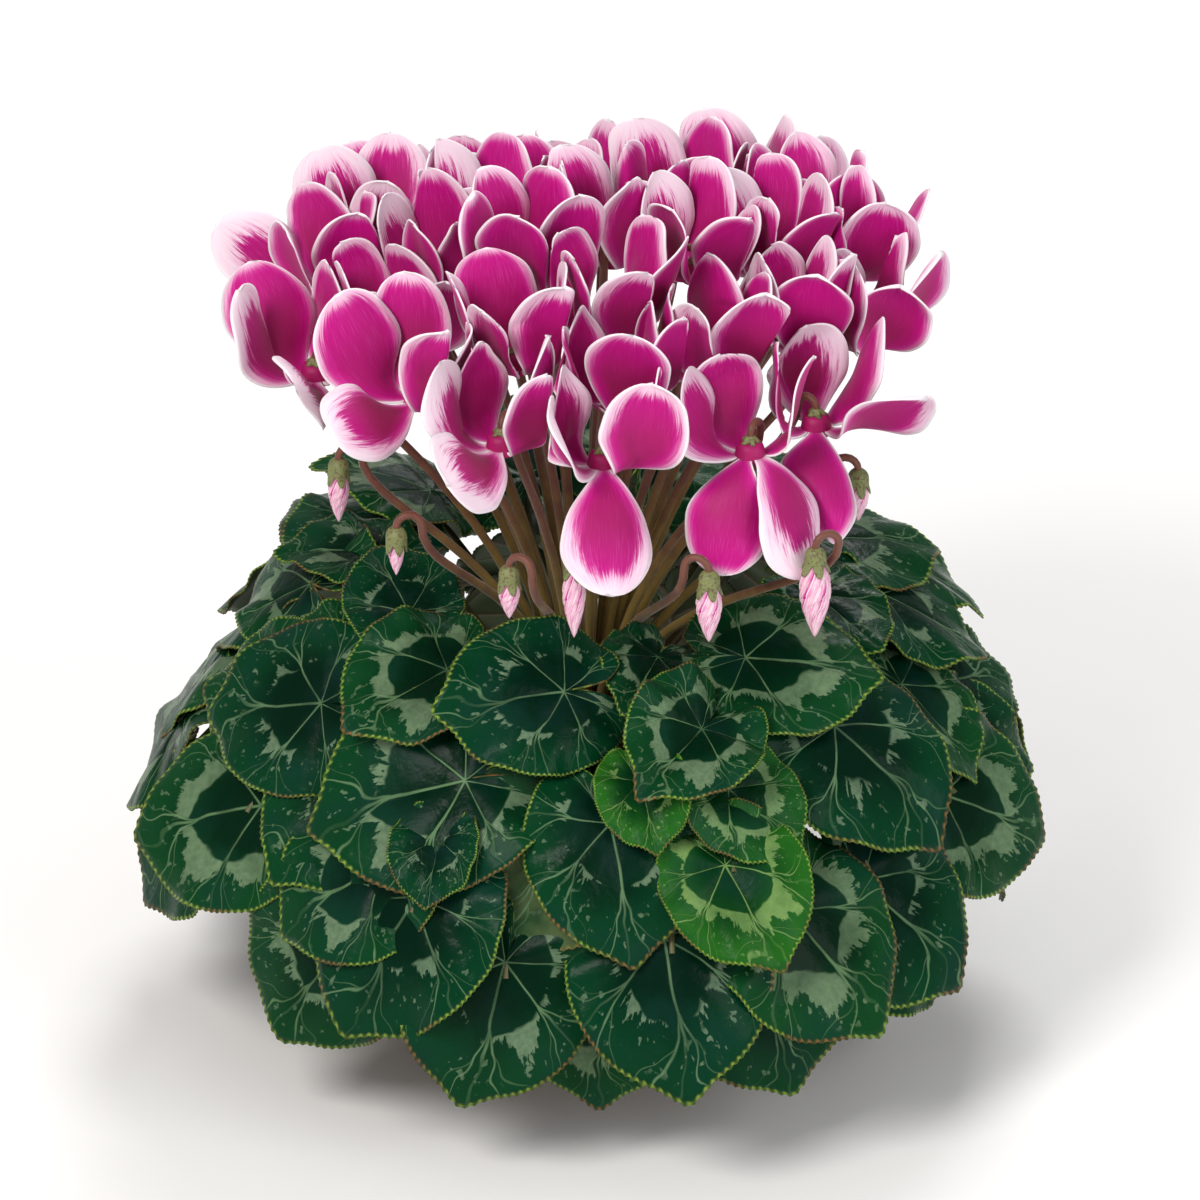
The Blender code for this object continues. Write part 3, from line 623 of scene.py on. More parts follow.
class Graph:
    """Short calls for the nodes of one material."""

    def __init__(self, name):
        self.material = bpy.data.materials.new(name)
        self.material.use_nodes = True
        self.tree = self.material.node_tree
        self.shader = self.tree.nodes["Principled BSDF"]

    def new(self, kind, **settings):
        node = self.tree.nodes.new(kind)
        for key, value in settings.items():
            setattr(node, key, value)
        return node

    def put(self, value, socket):
        if isinstance(value, bpy.types.NodeSocket):
            self.tree.links.new(value, socket)
        elif isinstance(value, tuple):
            socket.default_value = (*value, 1)
        else:
            socket.default_value = value

    def math(self, operation, first, second=0.0, third=0.0):
        node = self.new("ShaderNodeMath", operation=operation)
        for value, socket in zip((first, second, third), node.inputs):
            self.put(value, socket)
        return node.outputs[0]

    def plus(self, first, second):
        return self.math("ADD", first, second)

    def minus(self, first, second):
        return self.math("SUBTRACT", first, second)

    def times(self, first, second):
        return self.math("MULTIPLY", first, second)

    def step(self, value, low, high, start=0.0, end=1.0):
        node = self.new("ShaderNodeMapRange", interpolation_type="SMOOTHSTEP")
        for number, socket in zip((value, low, high, start, end), node.inputs):
            self.put(number, socket)
        return node.outputs[0]

    def mix(self, share, first, second):
        node = self.new("ShaderNodeMix", data_type="RGBA")
        self.put(share, node.inputs[0])
        self.put(first, node.inputs[6])
        self.put(second, node.inputs[7])
        return node.outputs[2]

    def uv(self, name):
        node = self.new("ShaderNodeUVMap", uv_map=name)
        split = self.new("ShaderNodeSeparateXYZ")
        self.put(node.outputs[0], split.inputs[0])
        return split.outputs[0], split.outputs[1]

    def point(self):
        node = self.new("ShaderNodeTexCoord")
        return node.outputs["Object"]

    def combine(self, x, y, z=0.0):
        node = self.new("ShaderNodeCombineXYZ")
        for value, socket in zip((x, y, z), node.inputs):
            self.put(value, socket)
        return node.outputs[0]

    def noise(self, vector, scale, detail=2.0, roughness=0.5):
        node = self.new("ShaderNodeTexNoise")
        self.put(vector, node.inputs["Vector"])
        node.inputs["Scale"].default_value = scale
        node.inputs["Detail"].default_value = detail
        node.inputs["Roughness"].default_value = roughness
        return node.outputs[0]

    def grain(self, scale, *fineness):
        return self.noise(self.point(), scale, *fineness)

    def net(self, vector, scale):
        """Distance to the edge of the cells of a net."""
        node = self.new("ShaderNodeTexVoronoi", feature="DISTANCE_TO_EDGE")
        self.put(vector, node.inputs["Vector"])
        node.inputs["Scale"].default_value = scale
        return node.outputs["Distance"]

    def bump(self, height, strength, distance):
        node = self.new("ShaderNodeBump")
        node.inputs["Strength"].default_value = strength
        node.inputs["Distance"].default_value = distance
        self.put(height, node.inputs["Height"])
        self.put(node.outputs[0], self.shader.inputs["Normal"])

    def finish(self, colour, roughness, **fixed):
        self.put(colour, self.shader.inputs["Base Color"])
        self.put(roughness, self.shader.inputs["Roughness"])
        for key, value in fixed.items():
            self.shader.inputs[key.replace("_", " ")].default_value = value
        return self.material


def leaf_blade_look():
    """Deep green with a jagged silver ring and pale forked veins, after the polar map."""
    g = Graph("leaf upper face")
    around, share = g.uv("polar")
    age, tone = g.uv("kind")
    flat_x, flat_y = g.uv("flat")
    flat = g.combine(flat_x, flat_y, g.times(tone, 9))
    wander = g.times(g.minus(g.noise(flat, 3.5), 0.5), 0.15)
    wander = g.times(wander, share)
    turn = g.times(g.plus(g.minus(around, 0.5), wander), VEINS)
    off_vein = g.math("PINGPONG", turn, 0.5)
    arc = g.times(share, 0.6)

    def vein(start, begin, spread, thin, thick, strength):
        past = g.math("MAXIMUM", g.minus(share, start), 0.0)
        way = g.math("MULTIPLY_ADD", past, spread, begin)
        gap = g.times(g.math("ABSOLUTE", g.minus(off_vein, way)), arc)
        line = g.step(gap, thin, thick, strength, 0)
        return g.times(line, g.step(share, start - 0.02, start + 0.03))

    trunk = g.step(g.times(off_vein, arc), 0.0035, 0.0095, 1, 0)
    trunk = g.times(trunk, g.step(share, 0.5, 0.75, 1, 0.25))
    veins = g.math("MAXIMUM", trunk, vein(0.44, 0.0, 0.42, 0.002, 0.0075, 0.9))
    veins = g.math("MAXIMUM", veins, vein(0.66, 0.092, 0.95, 0.001, 0.005, 0.45))

    spun = g.times(around, 70)
    fine = g.noise(g.combine(spun, g.times(share, 5), tone), 1.0, 3, 0.7)
    blot = g.noise(flat, 4.5, 3)
    patch = g.noise(g.combine(g.times(around, 9), tone, 0.0), 1.0, 1)
    inner = g.plus(0.50, g.times(g.minus(blot, 0.5), 0.45))
    broad = g.step(tone, 0.0, 1.0, 0.46, 0.34)
    width = g.plus(g.minus(patch, broad), g.times(g.minus(fine, 0.5), 0.42))
    outer = g.plus(inner, width)
    silver = g.step(g.minus(share, inner), 0.0, 0.03)
    silver = g.times(silver, g.step(g.minus(outer, share), 0.0, 0.03))
    green_way = g.step(g.times(off_vein, arc), 0.012, 0.028)
    silver = g.times(silver, green_way)
    dashes = g.times(g.step(g.noise(flat, 34.0, 1), 0.60, 0.64), g.step(fine, 0.5, 0.56))
    dashes = g.times(dashes, g.step(share, 0.6, 0.72))
    dashes = g.times(dashes, g.step(share, 0.86, 0.95, 0.8, 0))

    dark = g.mix(age, (0.0005, 0.012, 0.0055), (0.002, 0.046, 0.006))
    green = g.mix(age, (0.0010, 0.034, 0.012), (0.024, 0.150, 0.007))
    ground = g.mix(g.step(g.plus(share, g.times(blot, 0.5)), 0.55, 1.15), dark, green)
    # Painted bluish-grey sheen: a bluish-grey cast mixed into the ground colour in patches where the blot
    # noise is high
    ground = g.mix(g.times(g.step(blot, 0.45, 0.7), 0.4), ground, (0.004, 0.026, 0.024))
    pale = g.mix(g.noise(flat, 50.0, 2), (0.045, 0.095, 0.055), (0.165, 0.235, 0.145))
    lime = g.mix(g.noise(flat, 30.0, 2), (0.09, 0.21, 0.03), (0.22, 0.38, 0.06))
    pale = g.mix(age, pale, lime)
    strength = g.step(blot, 0.3, 0.6, 0.6, 1.0)
    colour = g.mix(g.times(g.math("MAXIMUM", silver, dashes), strength), ground, pale)
    worn = g.mix(g.step(blot, 0.42, 0.6), (0.012, 0.050, 0.018), (0.10, 0.14, 0.055))
    colour = g.mix(g.times(age, -1), colour, worn)
    line = g.mix(age, (0.12, 0.22, 0.11), (0.22, 0.38, 0.08))
    faint = g.step(g.noise(flat, 7.0), 0.35, 0.6, 0.35, 0.75)
    colour = g.mix(g.times(veins, faint), colour, line)
    bead = g.math("PINGPONG", g.times(around, LEAF_AROUND / 2), 0.5)
    edge = g.times(g.step(share, 0.967, 0.99), g.step(bead, 0.05, 0.4, 0.85, 0.25))
    rim = g.mix(g.step(blot, 0.48, 0.62), (0.24, 0.34, 0.05), (0.22, 0.12, 0.04))
    colour = g.mix(edge, colour, rim)
    height = g.minus(g.noise(flat, 22.0, 3), g.times(veins, 0.8))
    g.bump(height, 0.6, 0.0008)
    gloss = g.step(blot, 0.35, 0.65, 0.24, 0.34)
    return g.finish(colour, gloss, Specular_IOR_Level=0.055)


def leaf_under_look():
    g = Graph("leaf underside")
    around, share = g.uv("polar")
    turn = g.times(g.minus(around, 0.5), VEINS)
    off_vein = g.times(g.math("PINGPONG", turn, 0.5), g.times(share, 0.5))
    vein = g.step(off_vein, 0.004, 0.02, 1, 0)
    mottle = g.grain(60.0, 3)
    ground = g.mix(mottle, (0.045, 0.085, 0.030), (0.085, 0.12, 0.050))
    colour = g.mix(g.times(vein, 0.7), ground, (0.17, 0.12, 0.07))
    g.bump(g.plus(vein, mottle), 0.4, 0.0007)
    return g.finish(colour, 0.55, Specular_IOR_Level=0.35)


def stalk_look():
    g = Graph("flower stalk")
    split = g.new("ShaderNodeSeparateXYZ")
    g.put(g.point(), split.inputs[0])
    mottle = g.grain(120.0, 3)
    level = g.plus(split.outputs[2], g.times(mottle, 0.05))
    low = g.mix(mottle, (0.30, 0.19, 0.035), (0.17, 0.13, 0.035))
    high = g.mix(mottle, (0.19, 0.060, 0.035), (0.10, 0.035, 0.022))
    colour = g.mix(g.step(level, 0.20, 0.27), low, high)
    g.bump(g.grain(1500.0, 1), 0.5, 0.0003)
    return g.finish(colour, 0.5, Specular_IOR_Level=0.4, Sheen_Weight=0.25, Sheen_Roughness=0.4)


def petiole_look():
    g = Graph("leaf stalk")
    mottle = g.grain(90.0, 3)
    colour = g.mix(mottle, (0.10, 0.055, 0.03), (0.10, 0.13, 0.045))
    g.bump(g.grain(1500.0, 1), 0.4, 0.0003)
    return g.finish(colour, 0.5, Specular_IOR_Level=0.4)


def calyx_look():
    g = Graph("calyx")
    speckle = g.step(g.grain(900.0, 2), 0.52, 0.62)
    mottle = g.grain(250.0, 2)
    colour = g.mix(mottle, (0.13, 0.15, 0.05), (0.22, 0.24, 0.09))
    colour = g.mix(g.times(speckle, 0.7), colour, (0.09, 0.035, 0.03))
    g.bump(mottle, 0.4, 0.0004)
    return g.finish(colour, 0.55, Specular_IOR_Level=0.35)


def petal_look(name, tip_reach, side_reach, blush):
    """Magenta with a thin crisp rim and a feathered white edge, wider at the tip."""
    g = Graph(name)
    across, share = g.uv("petal")
    edge_way, white = g.uv("edge")
    chance, crimson = g.uv("kind")
    fan = g.times(g.minus(across, 0.5), 26)
    place = g.times(chance, 40)
    lines = g.noise(g.combine(fan, g.times(share, 3.0), place), 1.0, 4, 0.7)
    fine = g.noise(g.combine(g.times(fan, 3.5), g.times(share, 6), place), 1.0, 2)
    reach = g.times(white, g.step(share, 0.15, 1.0, side_reach, tip_reach))
    ragged = g.plus(g.times(lines, 1.5), g.times(fine, 0.7))
    feather = g.times(reach, g.minus(ragged, 0.45))
    veil = g.step(g.minus(feather, edge_way), -0.24, 0.16)
    crisp = g.step(edge_way, 0.028, 0.07, 1, 0)
    pale = g.math("MAXIMUM", veil, crisp)
    deep = g.mix(lines, (0.39, 0.0, 0.155), (0.53, 0.0, 0.215))
    deep = g.mix(g.times(g.step(fine, 0.5, 0.75), blush), deep, (0.62, 0.05, 0.36))
    # Deeper crimson towards a petal's base and middle, by a random depth per petal: partly the petal's
    # own darker base, partly painted shade
    heart_and_shade = g.times(g.step(share, 0.4, 0.95, 1, 0), g.step(edge_way, 0.1, 0.55))
    deep = g.mix(g.times(heart_and_shade, crimson), deep, (0.27, 0.006, 0.075))
    tint = g.mix(g.step(pale, 0.1, 0.9), (0.64, 0.06, 0.36), (0.80, 0.50, 0.66))
    tint = g.mix(g.step(g.minus(feather, edge_way), 0.05, 0.4), tint, (0.82, 0.66, 0.74))
    tint = g.mix(crisp, tint, (0.84, 0.76, 0.80))
    colour = g.mix(pale, deep, tint)
    g.bump(g.plus(lines, g.times(fine, 0.6)), 0.2, 0.0004)
    return g.finish(colour, 0.55, Specular_IOR_Level=0.2, Sheen_Weight=0.1, Sheen_Roughness=0.4)


def cup_look():
    g = Graph("flower cup")
    mottle = g.grain(300.0, 3)
    colour = g.mix(mottle, (0.25, 0.0, 0.06), (0.42, 0.01, 0.14))
    g.bump(mottle, 0.3, 0.0003)
    return g.finish(colour, 0.55, Specular_IOR_Level=0.3)


def bud_look():
    g = Graph("bud")
    around, share = g.uv("petal")
    spun = g.times(g.plus(around, g.times(share, 0.35)), 5)
    fold = g.math("FRACT", spun)
    lines = g.noise(g.combine(g.times(spun, 6), g.times(share, 3)), 1.0, 4, 0.7)
    pink = g.mix(g.step(lines, 0.42, 0.6), (0.80, 0.60, 0.64), (0.70, 0.24, 0.46))
    streak = g.times(g.step(fold, 0.78, 0.95), g.step(lines, 0.3, 0.6))
    pink = g.mix(streak, pink, (0.45, 0.0, 0.20))
    pink = g.mix(g.step(share, 0.0, 0.28, 0.7, 0), pink, (0.50, 0.01, 0.24))
    colour = g.mix(g.step(fold, 0.0, 0.10, 1, 0), pink, (0.84, 0.72, 0.76))
    g.bump(lines, 0.3, 0.0005)
    return g.finish(colour, 0.55, Specular_IOR_Level=0.2)


def pot_look():
    g = Graph("terracotta plastic")
    grain = g.grain(700.0, 2)
    broad = g.grain(14.0, 3)
    colour = g.mix(broad, (0.27, 0.075, 0.035), (0.34, 0.105, 0.055))
    g.bump(grain, 0.25, 0.0003)
    return g.finish(colour, g.step(broad, 0.3, 0.7, 0.48, 0.62), Specular_IOR_Level=0.4)


def soil_look():
    g = Graph("peat soil")
    crumbs = g.grain(260.0, 5, 0.7)
    fibres = g.grain(700.0, 3)
    colour = g.mix(g.step(crumbs, 0.4, 0.65), (0.012, 0.008, 0.005), (0.055, 0.033, 0.02))
    colour = g.mix(g.step(fibres, 0.66, 0.72), colour, (0.20, 0.15, 0.10))
    g.bump(crumbs, 0.9, 0.002)
    return g.finish(colour, 0.95, Specular_IOR_Level=0.2)


def tuber_look():
    g = Graph("tuber skin")
    cork = g.grain(90.0, 5, 0.65)
    cracks = g.step(g.net(g.point(), 140.0), 0.0, 0.12, 1, 0)
    colour = g.mix(cork, (0.07, 0.042, 0.028), (0.19, 0.12, 0.075))
    colour = g.mix(g.times(cracks, 0.6), colour, (0.03, 0.02, 0.015))
    g.bump(g.minus(cork, cracks), 0.8, 0.001)
    return g.finish(colour, 0.85, Specular_IOR_Level=0.25)


def flat_uv(around, along):
    """Where a leaf's point lies on the leaf laid flat, as shares of its length."""
    angle = 2 * math.pi * (around - 0.5)
    reach = leaf_reach(angle) * ring_share(along)
    return 0.5 + 0.5 * reach * math.cos(angle), 0.5 + 0.5 * reach * math.sin(angle)


def ring_share(along):
    """Rings lie closer together towards a leaf's edge."""
    return 1 - (1 - along) ** 1.25


def leaf_relief(around, share, phase):
    """How far a fine leaf rises between its veins and ripples at its edge."""
    angle = 2 * math.pi * (around - 0.5)
    between = abs(math.sin(math.pi * (around - 0.5) * VEINS)) ** 0.7
    puff = QUILT * between * ease(share / 0.35) * (1 - 0.7 * ease((share - 0.7) / 0.3))
    ripple = RIPPLE * share**4 * (math.sin(13 * angle + 3 * phase) + math.sin(7 * angle + phase))
    return puff + ripple - QUILT * 0.5


def fine_leaf(bm, leaf, tone, age, layers):
    """One blade: a polar sheet with a bead-toothed edge."""
    normal, length, phase = leaf[3], leaf[4], leaf[6]

    def place(around, along):
        share = ring_share(along)
        share *= 1 + TIP_DRAW * math.exp(-(((around - 0.5) / TIP_REACH) ** 2))
        if along > 0.999:
            tooth = TOOTH if round(around * LEAF_AROUND) % 2 else -TOOTH
            share += tooth * 0.5 / (length * 0.7)
        relief = leaf_relief(around, share, phase)
        point = leaf_point(leaf, around, share) + normal * relief
        point.z = max(point.z, LOWEST)
        return point

    maps = (
        (layers[0], lambda around, along: (around, ring_share(along))),
        (layers[1], flat_uv),
        (layers[2], lambda around, along: (age, tone)),
    )
    faces = grid_sheet(bm, LEAF_AROUND, LEAF_RINGS, place, maps)
    face_along(bm, faces, normal)


def build_leaves(upper, under):
    leaves = all_leaves()
    rng = random.Random(FINISH_SEED)
    tones = [rng.random() for _ in leaves]
    for group in range(LEAF_GROUPS):
        bm = bmesh.new()
        layers = [bm.loops.layers.uv.new(name) for name in ("polar", "flat", "kind")]
        for index in range(group, len(leaves), LEAF_GROUPS):
            age = YOUNG_LEAVES.get(index, 0.12 * tones[index])
            fine_leaf(bm, leaves[index], tones[index], age, layers)
        piece = finish_mesh(f"leaves_{group + 1}", bm, (upper, under), "leaf", "leaves")
        give_wall(piece, LEAF_SHEET)
    return leaves


def build_petioles(leaves, look):
    bm = bmesh.new()
    for leaf in leaves:
        hub, normal = leaf[0], leaf[3]
        out = outward(math.atan2(hub.x, -hub.y))
        high = ease((hub.z - 80) / 120)  # high leaves grow from nearer the crown's middle
        start_radius = RING_OUTER - 3 - (RING_OUTER - RING_INNER - 5) * high
        start = out * start_radius + Vector((0, 0, CROWN_BASE + CROWN_THICK * 0.4))
        end = leaf_point(leaf, 0.55, 0.12)
        bend = end - normal * PETIOLE_RUN
        bend.z = max(bend.z, POT_HEIGHT + PETIOLE_RUN)
        path = [curve_point((start, bend, end), step / PETIOLE_STEPS)
                for step in range(PETIOLE_STEPS + 1)]
        stalk_tube(bm, path, PETIOLE_RADIUS, PETIOLE_SIDES)
    lathe(bm, CROWN_RING, CROWN_SIDES)
    finish_solid("leaf_stalks", bm, look, "stalk", "leaves")


def ring_point(around, radius, height):
    """A point on a ring about the upright, around in 0 to 1."""
    angle = 2 * math.pi * around
    return Vector((math.cos(angle) * radius, math.sin(angle) * radius, height))


def lathe(bm, profile, sides, centre=(0, 0, 0), wobble=None):
    """A closed skin of revolution through (radius, height) points."""
    steps = len(profile) - 1

    def place(around, along):
        point = ring_point(around, *profile[round(along * steps)])
        if wobble:
            point = wobble(point)
        return Vector(centre) + point

    grid_sheet(bm, sides, steps, place)


def rounded(profile, steps):
    """A smooth line through an outline's points."""
    points = [Vector((*point, 0)) for point in profile]
    line = []
    for index in range(len(points) - 1):
        before = points[max(index - 1, 0)]
        first, second = points[index], points[index + 1]
        after = points[min(index + 2, len(points) - 1)]
        for step in range(steps):
            t = step / steps
            turn = (first * 2 + (second - before) * t
                    + (before * 2 - first * 5 + second * 4 - after) * t**2
                    + (first * 3 - before - second * 3 + after) * t**3) * 0.5
            line.append((max(turn.x, 0), turn.y))
    line.append(tuple(profile[-1]))
    return line


def fine_petal(bm, petal, centre, others, rng, layers):
    rim = petal[0]
    chance, phase = rng.random(), rng.uniform(0, 2 * math.pi)
    white = 0.15 + 0.85 * rng.random() ** 1.8
    crimson = rng.uniform(0.5, 1.0)

    def share_of(along):
        return 1 - (1 - along) ** 1.3

    def place(across, along):
        share = share_of(along)
        side = 2 * across - 1
        turn = 1 if side > 0 else 2
        wave = PETAL_WAVE * side**2 * math.sin(8 * share + phase * turn) * ease(share / 0.5)
        nick = 1 + PETAL_NICK * math.sin(19 * share + 3 * phase * turn)
        point = keep_off_hook(petal_point(petal, share, side * nick, wave), rim, share)
        return keep_in_cell(point, centre, others, share)

    def edge(across, along):
        share = share_of(along)
        side = (1 - abs(2 * across - 1)) * petal_half_width(share) / PETAL_HALF_WIDTH
        tip = (1 - share) * PETAL_LENGTH / PETAL_HALF_WIDTH
        return min(side, tip), white

    maps = (
        (layers[0], lambda across, along: (across, share_of(along))),
        (layers[1], edge),
        (layers[2], lambda across, along: (chance, crimson)),
    )
    faces = grid_sheet(bm, PETAL_ACROSS, PETAL_ALONG, place, maps)
    face_along(bm, faces, petal_point(petal, 0.5, 0, 1) - petal_point(petal, 0.5, 0))


def build_blooms(outer, inner, cup):
    rng = random.Random(PETAL_SEED)
    finish = random.Random(FINISH_SEED)
    rims = [from_view(*bloom[:3]) for bloom in BLOOMS]
    lifted = Vector((0, 0, CELL_HEIGHT))
    for index, (rim, bloom) in enumerate(zip(rims, BLOOMS)):
        centre = rim + lifted
        others = [other + lifted for other in rims if 0 < (other - rim).length < 110]
        bm = bmesh.new()
        layers = [bm.loops.layers.uv.new(name) for name in ("petal", "edge", "kind")]
        for petal in bloom_petals(rim, bloom[3], bloom[4], rng):
            fine_petal(bm, petal, centre, others, finish, layers)
        node = f"bloom_{index + 1:02d}"
        piece = finish_mesh(node + "_petals", bm, (outer, inner), "petal", node)
        give_wall(piece, PETAL_SHEET)
        bm = bmesh.new()
        lathe(bm, rounded(CUP_PROFILE, 3), CUP_SIDES, rim)
        finish_solid(node + "_cup", bm, cup, "petal", node)


def star(around, waist, sharp):
    """How far five sepals reach, from the waist between two of them to 1 at a tip."""
    return waist + (1 - waist) * abs(math.cos(2.5 * 2 * math.pi * around)) ** sharp


def star_cap(bm, top):
    """The calyx of an open bloom: five pointed sepals lying over the end of its cup."""

    def place(around, along):
        row = round(along * CAP_ROWS)
        if row == 0:
            return top + CALYX_ROOT
        share = (row - 1) / (CAP_ROWS - 1)
        sepal = star(around, 0.60, 1.6)
        ring = CALYX_RADIUS * (1 - share) * (sepal + (1 - sepal) * share)
        return top + ring_point(around, ring, CALYX_HEIGHT * (1 - (1 - share) ** 1.7))

    grid_sheet(bm, CAP_SIDES, CAP_ROWS, place)


def bud_ring(along):
    """A bud's radius along it, as a share of its widest."""
    if along < 0.001:
        return 0
    return math.sin(math.pi * min(along * 0.97 + 0.03, 1)) ** 0.8 * (1.15 - 0.5 * along)


def draped_calyx(bm, top, length, radius):
    """The calyx of a bud: a small bell whose five sepals hang down over the petals."""
    rows = len(SEPAL_DEPTHS)

    def place(around, along):
        row = round(along * rows)
        if row == rows:
            return top + CALYX_ROOT
        depth = SEPAL_DEPTHS[row] * (CALYX_HEIGHT + SEPAL_DRAPE * star(around, 0.42, 1.3))
        bell = CALYX_BELL * math.sqrt(1 - (1 - min(depth / BELL_GROWTH, 1)) ** 2)
        under = max(depth - CALYX_HEIGHT, 0) / length
        ring = max(bell, radius * bud_ring(under) + SEPAL_CLEAR)
        ring *= 1 - SEPAL_FURROW * (1 - star(around, 0, 1)) if row else 0
        if row > SEPAL_DEPTHS.index(1):
            ring -= SEPAL_SHEET
        return top + ring_point(around, ring, CALYX_HEIGHT - depth)

    grid_sheet(bm, BUD_AROUND, rows, place)


def build_stalks(look, cap_look):
    stalks, caps = bmesh.new(), bmesh.new()
    ends = []
    for bloom in BLOOMS:
        rim = from_view(*bloom[:3])
        tip = rim + Vector((0, 0, CUP_HEIGHT + GAP))
        star_cap(caps, tip)
        ends.append((tip, facing(rim, bloom[3] + STALK_SIDE), HOOK_RADIUS))
    for across, up, depth, length, radius, hook_from in BUDS:
        top = from_view(across, up, depth)
        draped_calyx(caps, top, length, radius)
        ends.append((top + Vector((0, 0, GAP)), math.radians(hook_from), HOOK_RADIUS * 1.2))
    for tip, hook_from, hook_radius in ends:
        azimuth = math.atan2(tip.x, -tip.y)
        base_radius = 1 + 11 * min(math.hypot(tip.x, tip.y) / 130, 1)
        path = stalk_path(tip + Vector((0, 0, 1)), hook_from, hook_radius, azimuth, base_radius)
        stalk_tube(stalks, path, STALK_RADIUS, STALK_SIDES)
    lathe(stalks, CROWN_DISC, CROWN_SIDES)
    finish_solid("flower_stalks_fine", stalks, look, "stalk", "flower_stalks")
    finish_solid("calyxes", caps, cap_look, "stalk", "flower_stalks")


def build_buds(look):
    """Closed buds: petals wound round each other, point down."""
    for index, (across, up, depth, length, radius, _) in enumerate(BUDS):
        top = from_view(across, up, depth)

        def place(around, along):
            fold = (1.25 * along + around) * 5
            ridge = 1 - 0.16 * (1 - (fold % 1)) ** 3 * ease(along / 0.15)
            return top + ring_point(around, radius * bud_ring(along) * ridge, -length * along)

        bm = bmesh.new()
        layers = ((bm.loops.layers.uv.new("petal"), lambda around, along: (around, along)),)
        grid_sheet(bm, BUD_AROUND, BUD_ALONG, place, layers)
        node = f"bud_{index + 1}"
        finish_solid(node + "_petals", bm, look, "bud", node)


def pot_inner_radius(height):
    taper = (POT_RIM_RADIUS - POT_FOOT_RADIUS) / POT_HEIGHT
    return POT_FOOT_RADIUS + taper * height - POT_WALL


def build_pot(look):
    lip = POT_HEIGHT - LIP_HEIGHT
    floor = POT_WALL + 1
    outer = pot_inner_radius(lip) + POT_WALL
    rim = POT_RIM_RADIUS + LIP_WIDTH
    inner = pot_inner_radius(POT_HEIGHT)
    foot = POT_FOOT_RADIUS
    profile = [(0, 0), (20, 0), (foot - 1.2, 0), (foot - 0.4, 0.3), (foot, 1.2)]
    profile += [(foot + (outer - foot) * step / 8, lip * step / 8) for step in range(1, 8)]
    profile += [(outer, lip - 0.6), (outer + 0.8, lip), (outer + LIP_WIDTH - 0.4, lip + 1.4),
                (outer + LIP_WIDTH, lip + 2.4), (rim, POT_HEIGHT - 1.4), (rim - 0.5, POT_HEIGHT - 0.4),
                (rim - 1.5, POT_HEIGHT), (inner + 1.2, POT_HEIGHT), (inner + 0.3, POT_HEIGHT - 0.4),
                (inner, POT_HEIGHT - 1.4)]
    heights = [floor + POT_INSIDE * step / 6 for step in range(6, 0, -1)]
    profile += [(pot_inner_radius(height), height) for height in heights]
    profile += [(pot_inner_radius(floor), floor + 1), (pot_inner_radius(floor) - 1, floor), (0, floor)]
    bm = bmesh.new()
    lathe(bm, profile, POT_SIDES)
    pot = finish_solid("pot_shell", bm, look, "pot", "pot")
    bm = bmesh.new()
    for index in range(DRAINS):
        spot = outward(2 * math.pi * index / DRAINS) * DRAIN_RING * MM
        bmesh.ops.create_cone(bm, cap_ends=True, segments=32, radius1=DRAIN_RADIUS * MM,
                              radius2=DRAIN_RADIUS * MM, depth=4 * floor * MM,
                              matrix=Matrix.Translation(spot))
    holes = add_object("drains", mesh_of("drains", bm))
    cut = pot.modifiers.new("drains", "BOOLEAN")
    cut.operation = "DIFFERENCE"
    cut.object = holes
    bpy.context.view_layer.update()
    graph = bpy.context.evaluated_depsgraph_get()
    pot.data = bpy.data.meshes.new_from_object(pot.evaluated_get(graph))
    pot.modifiers.clear()
    bpy.data.objects.remove(holes)
    pot.data.set_sharp_from_angle(angle=math.radians(40))


def tuber_profile(grown=0):
    """Half the outline of the tuber, from its flat crown to its bottom."""
    return (
        (TUBER_CROWN + grown, TUBER_TOP + grown),
        (TUBER_RADIUS + grown, TUBER_MIDDLE + 5),
        (TUBER_RADIUS + grown, TUBER_MIDDLE - 3),
        (TUBER_RADIUS * 0.7 + grown, TUBER_BOTTOM + 2 - grown),
        (0, TUBER_BOTTOM - grown),
    )


def build_tuber(look):
    def wobble(point):
        shrink = 1 - TUBER_SHRINK * (0.5 + 0.5 * noise.noise(point * 0.09))
        height = TUBER_MIDDLE + (point.z - TUBER_MIDDLE) * shrink
        return Vector((point.x * shrink, point.y * shrink, height))

    outline = ((0, TUBER_TOP), (14, TUBER_TOP), *tuber_profile())
    line = [(min(radius, TUBER_RADIUS), min(height, TUBER_TOP)) for radius, height in rounded(outline, 5)]
    bm = bmesh.new()
    lathe(bm, line, TUBER_SIDES, wobble=wobble)
    finish_solid("tuber_fine", bm, look, "tuber", "tuber")


def build_soil(look):
    floor = POT_WALL + 1 + GAP
    hollow = [point for point in tuber_profile(GAP) if point[1] < SOIL_TOP]
    wall = pot_inner_radius(SOIL_TOP) - GAP
    brim = hollow[0][0] + 0.6
    profile = list(reversed(hollow)) + [(brim, SOIL_TOP)]
    for step in range(1, SOIL_RINGS):
        share = step / SOIL_RINGS
        profile.append((brim + (wall - brim) * share, SOIL_TOP + math.sin(math.pi * share)))
    profile += [(wall, SOIL_TOP - 1), (pot_inner_radius(floor) - GAP, floor), (0, floor)]

    def wobble(point):
        if point.z < SOIL_TOP - 0.5 or math.hypot(point.x, point.y) > wall - 1:
            return point
        crumb = noise.noise(point * 0.35) * 1.1 + noise.noise(point * 0.9) * 0.6
        return point + Vector((0, 0, min(crumb, 1.3)))

    bm = bmesh.new()
    lathe(bm, profile, SOIL_SIDES, wobble=wobble)
    finish_solid("soil_fine", bm, look, "soil", "soil")


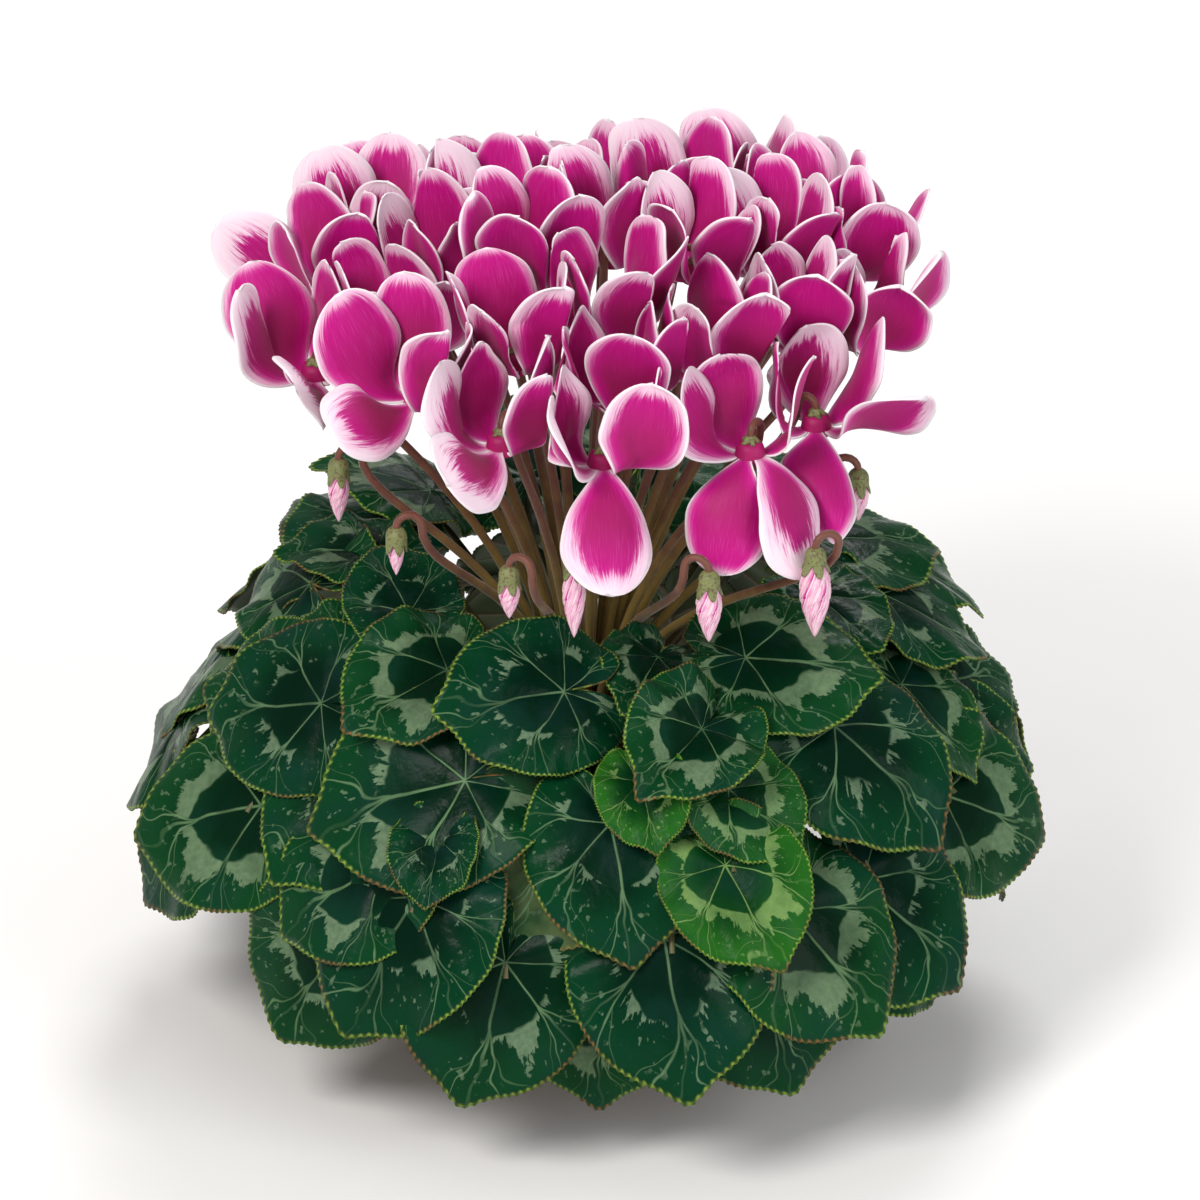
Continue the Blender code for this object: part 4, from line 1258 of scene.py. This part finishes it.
def area_light(name, place, aim, size, power, colour):
    data = bpy.data.lights.new(name, "AREA")
    data.shape = "DISK"
    data.size = size
    data.energy = power
    data.color = colour
    lamp = add_object(name, data)
    lamp.location = place
    lamp.rotation_euler = (Vector(aim) - Vector(place)).to_track_quat("-Z", "Y").to_euler()


def build_stage():
    """The pale floor, the soft light and the camera at the photograph's angle."""
    bm = bmesh.new()
    bmesh.ops.create_grid(bm, x_segments=1, y_segments=1, size=6)
    floor = add_object("floor", mesh_of("floor", bm))
    g = Graph("pale floor")
    floor.data.materials.append(g.finish((0.86, 0.85, 0.84), 0.9, Specular_IOR_Level=0.2))

    world = bpy.data.worlds.new("studio")
    world.use_nodes = True
    background = world.node_tree.nodes["Background"]
    background.inputs["Color"].default_value = (1, 1, 1, 1)
    background.inputs["Strength"].default_value = SKY_LIGHT
    bpy.context.scene.world = world
    for light in LIGHTS:
        area_light(*light)

    scale = VIEW_SCALE * MM
    across = (IMAGE_SIZE / 2 - AXIS_FOOT[0]) * scale
    up = (AXIS_FOOT[1] - IMAGE_SIZE / 2) * scale
    image_up = Vector((0, math.sin(VIEW_TILT), math.cos(VIEW_TILT)))
    back = Vector((0, -math.cos(VIEW_TILT), math.sin(VIEW_TILT)))
    data = bpy.data.cameras.new("camera")
    data.sensor_width = SENSOR
    data.lens = SENSOR * CAMERA_DISTANCE / (IMAGE_SIZE * scale)
    data.clip_end = 50
    camera = add_object("camera", data)
    camera.location = Vector((across, 0, 0)) + image_up * up + back * CAMERA_DISTANCE
    camera.rotation_euler = (math.pi / 2 - VIEW_TILT, 0, 0)
    bpy.context.scene.camera = camera
    bpy.context.scene.view_settings.view_transform = "Standard"


def main():
    leaf_stalk = petiole_look()
    leaves = build_leaves(leaf_blade_look(), leaf_under_look())
    build_petioles(leaves, leaf_stalk)
    outer = petal_look("petal outer face", 0.72, 0.07, 0.25)
    inner = petal_look("petal inner face", 1.25, 0.22, 0.5)
    build_blooms(outer, inner, cup_look())
    build_stalks(stalk_look(), calyx_look())
    build_buds(bud_look())
    build_pot(pot_look())
    build_soil(soil_look())
    build_tuber(tuber_look())
    build_stage()


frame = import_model()
main()
bpy.context.view_layer.update()
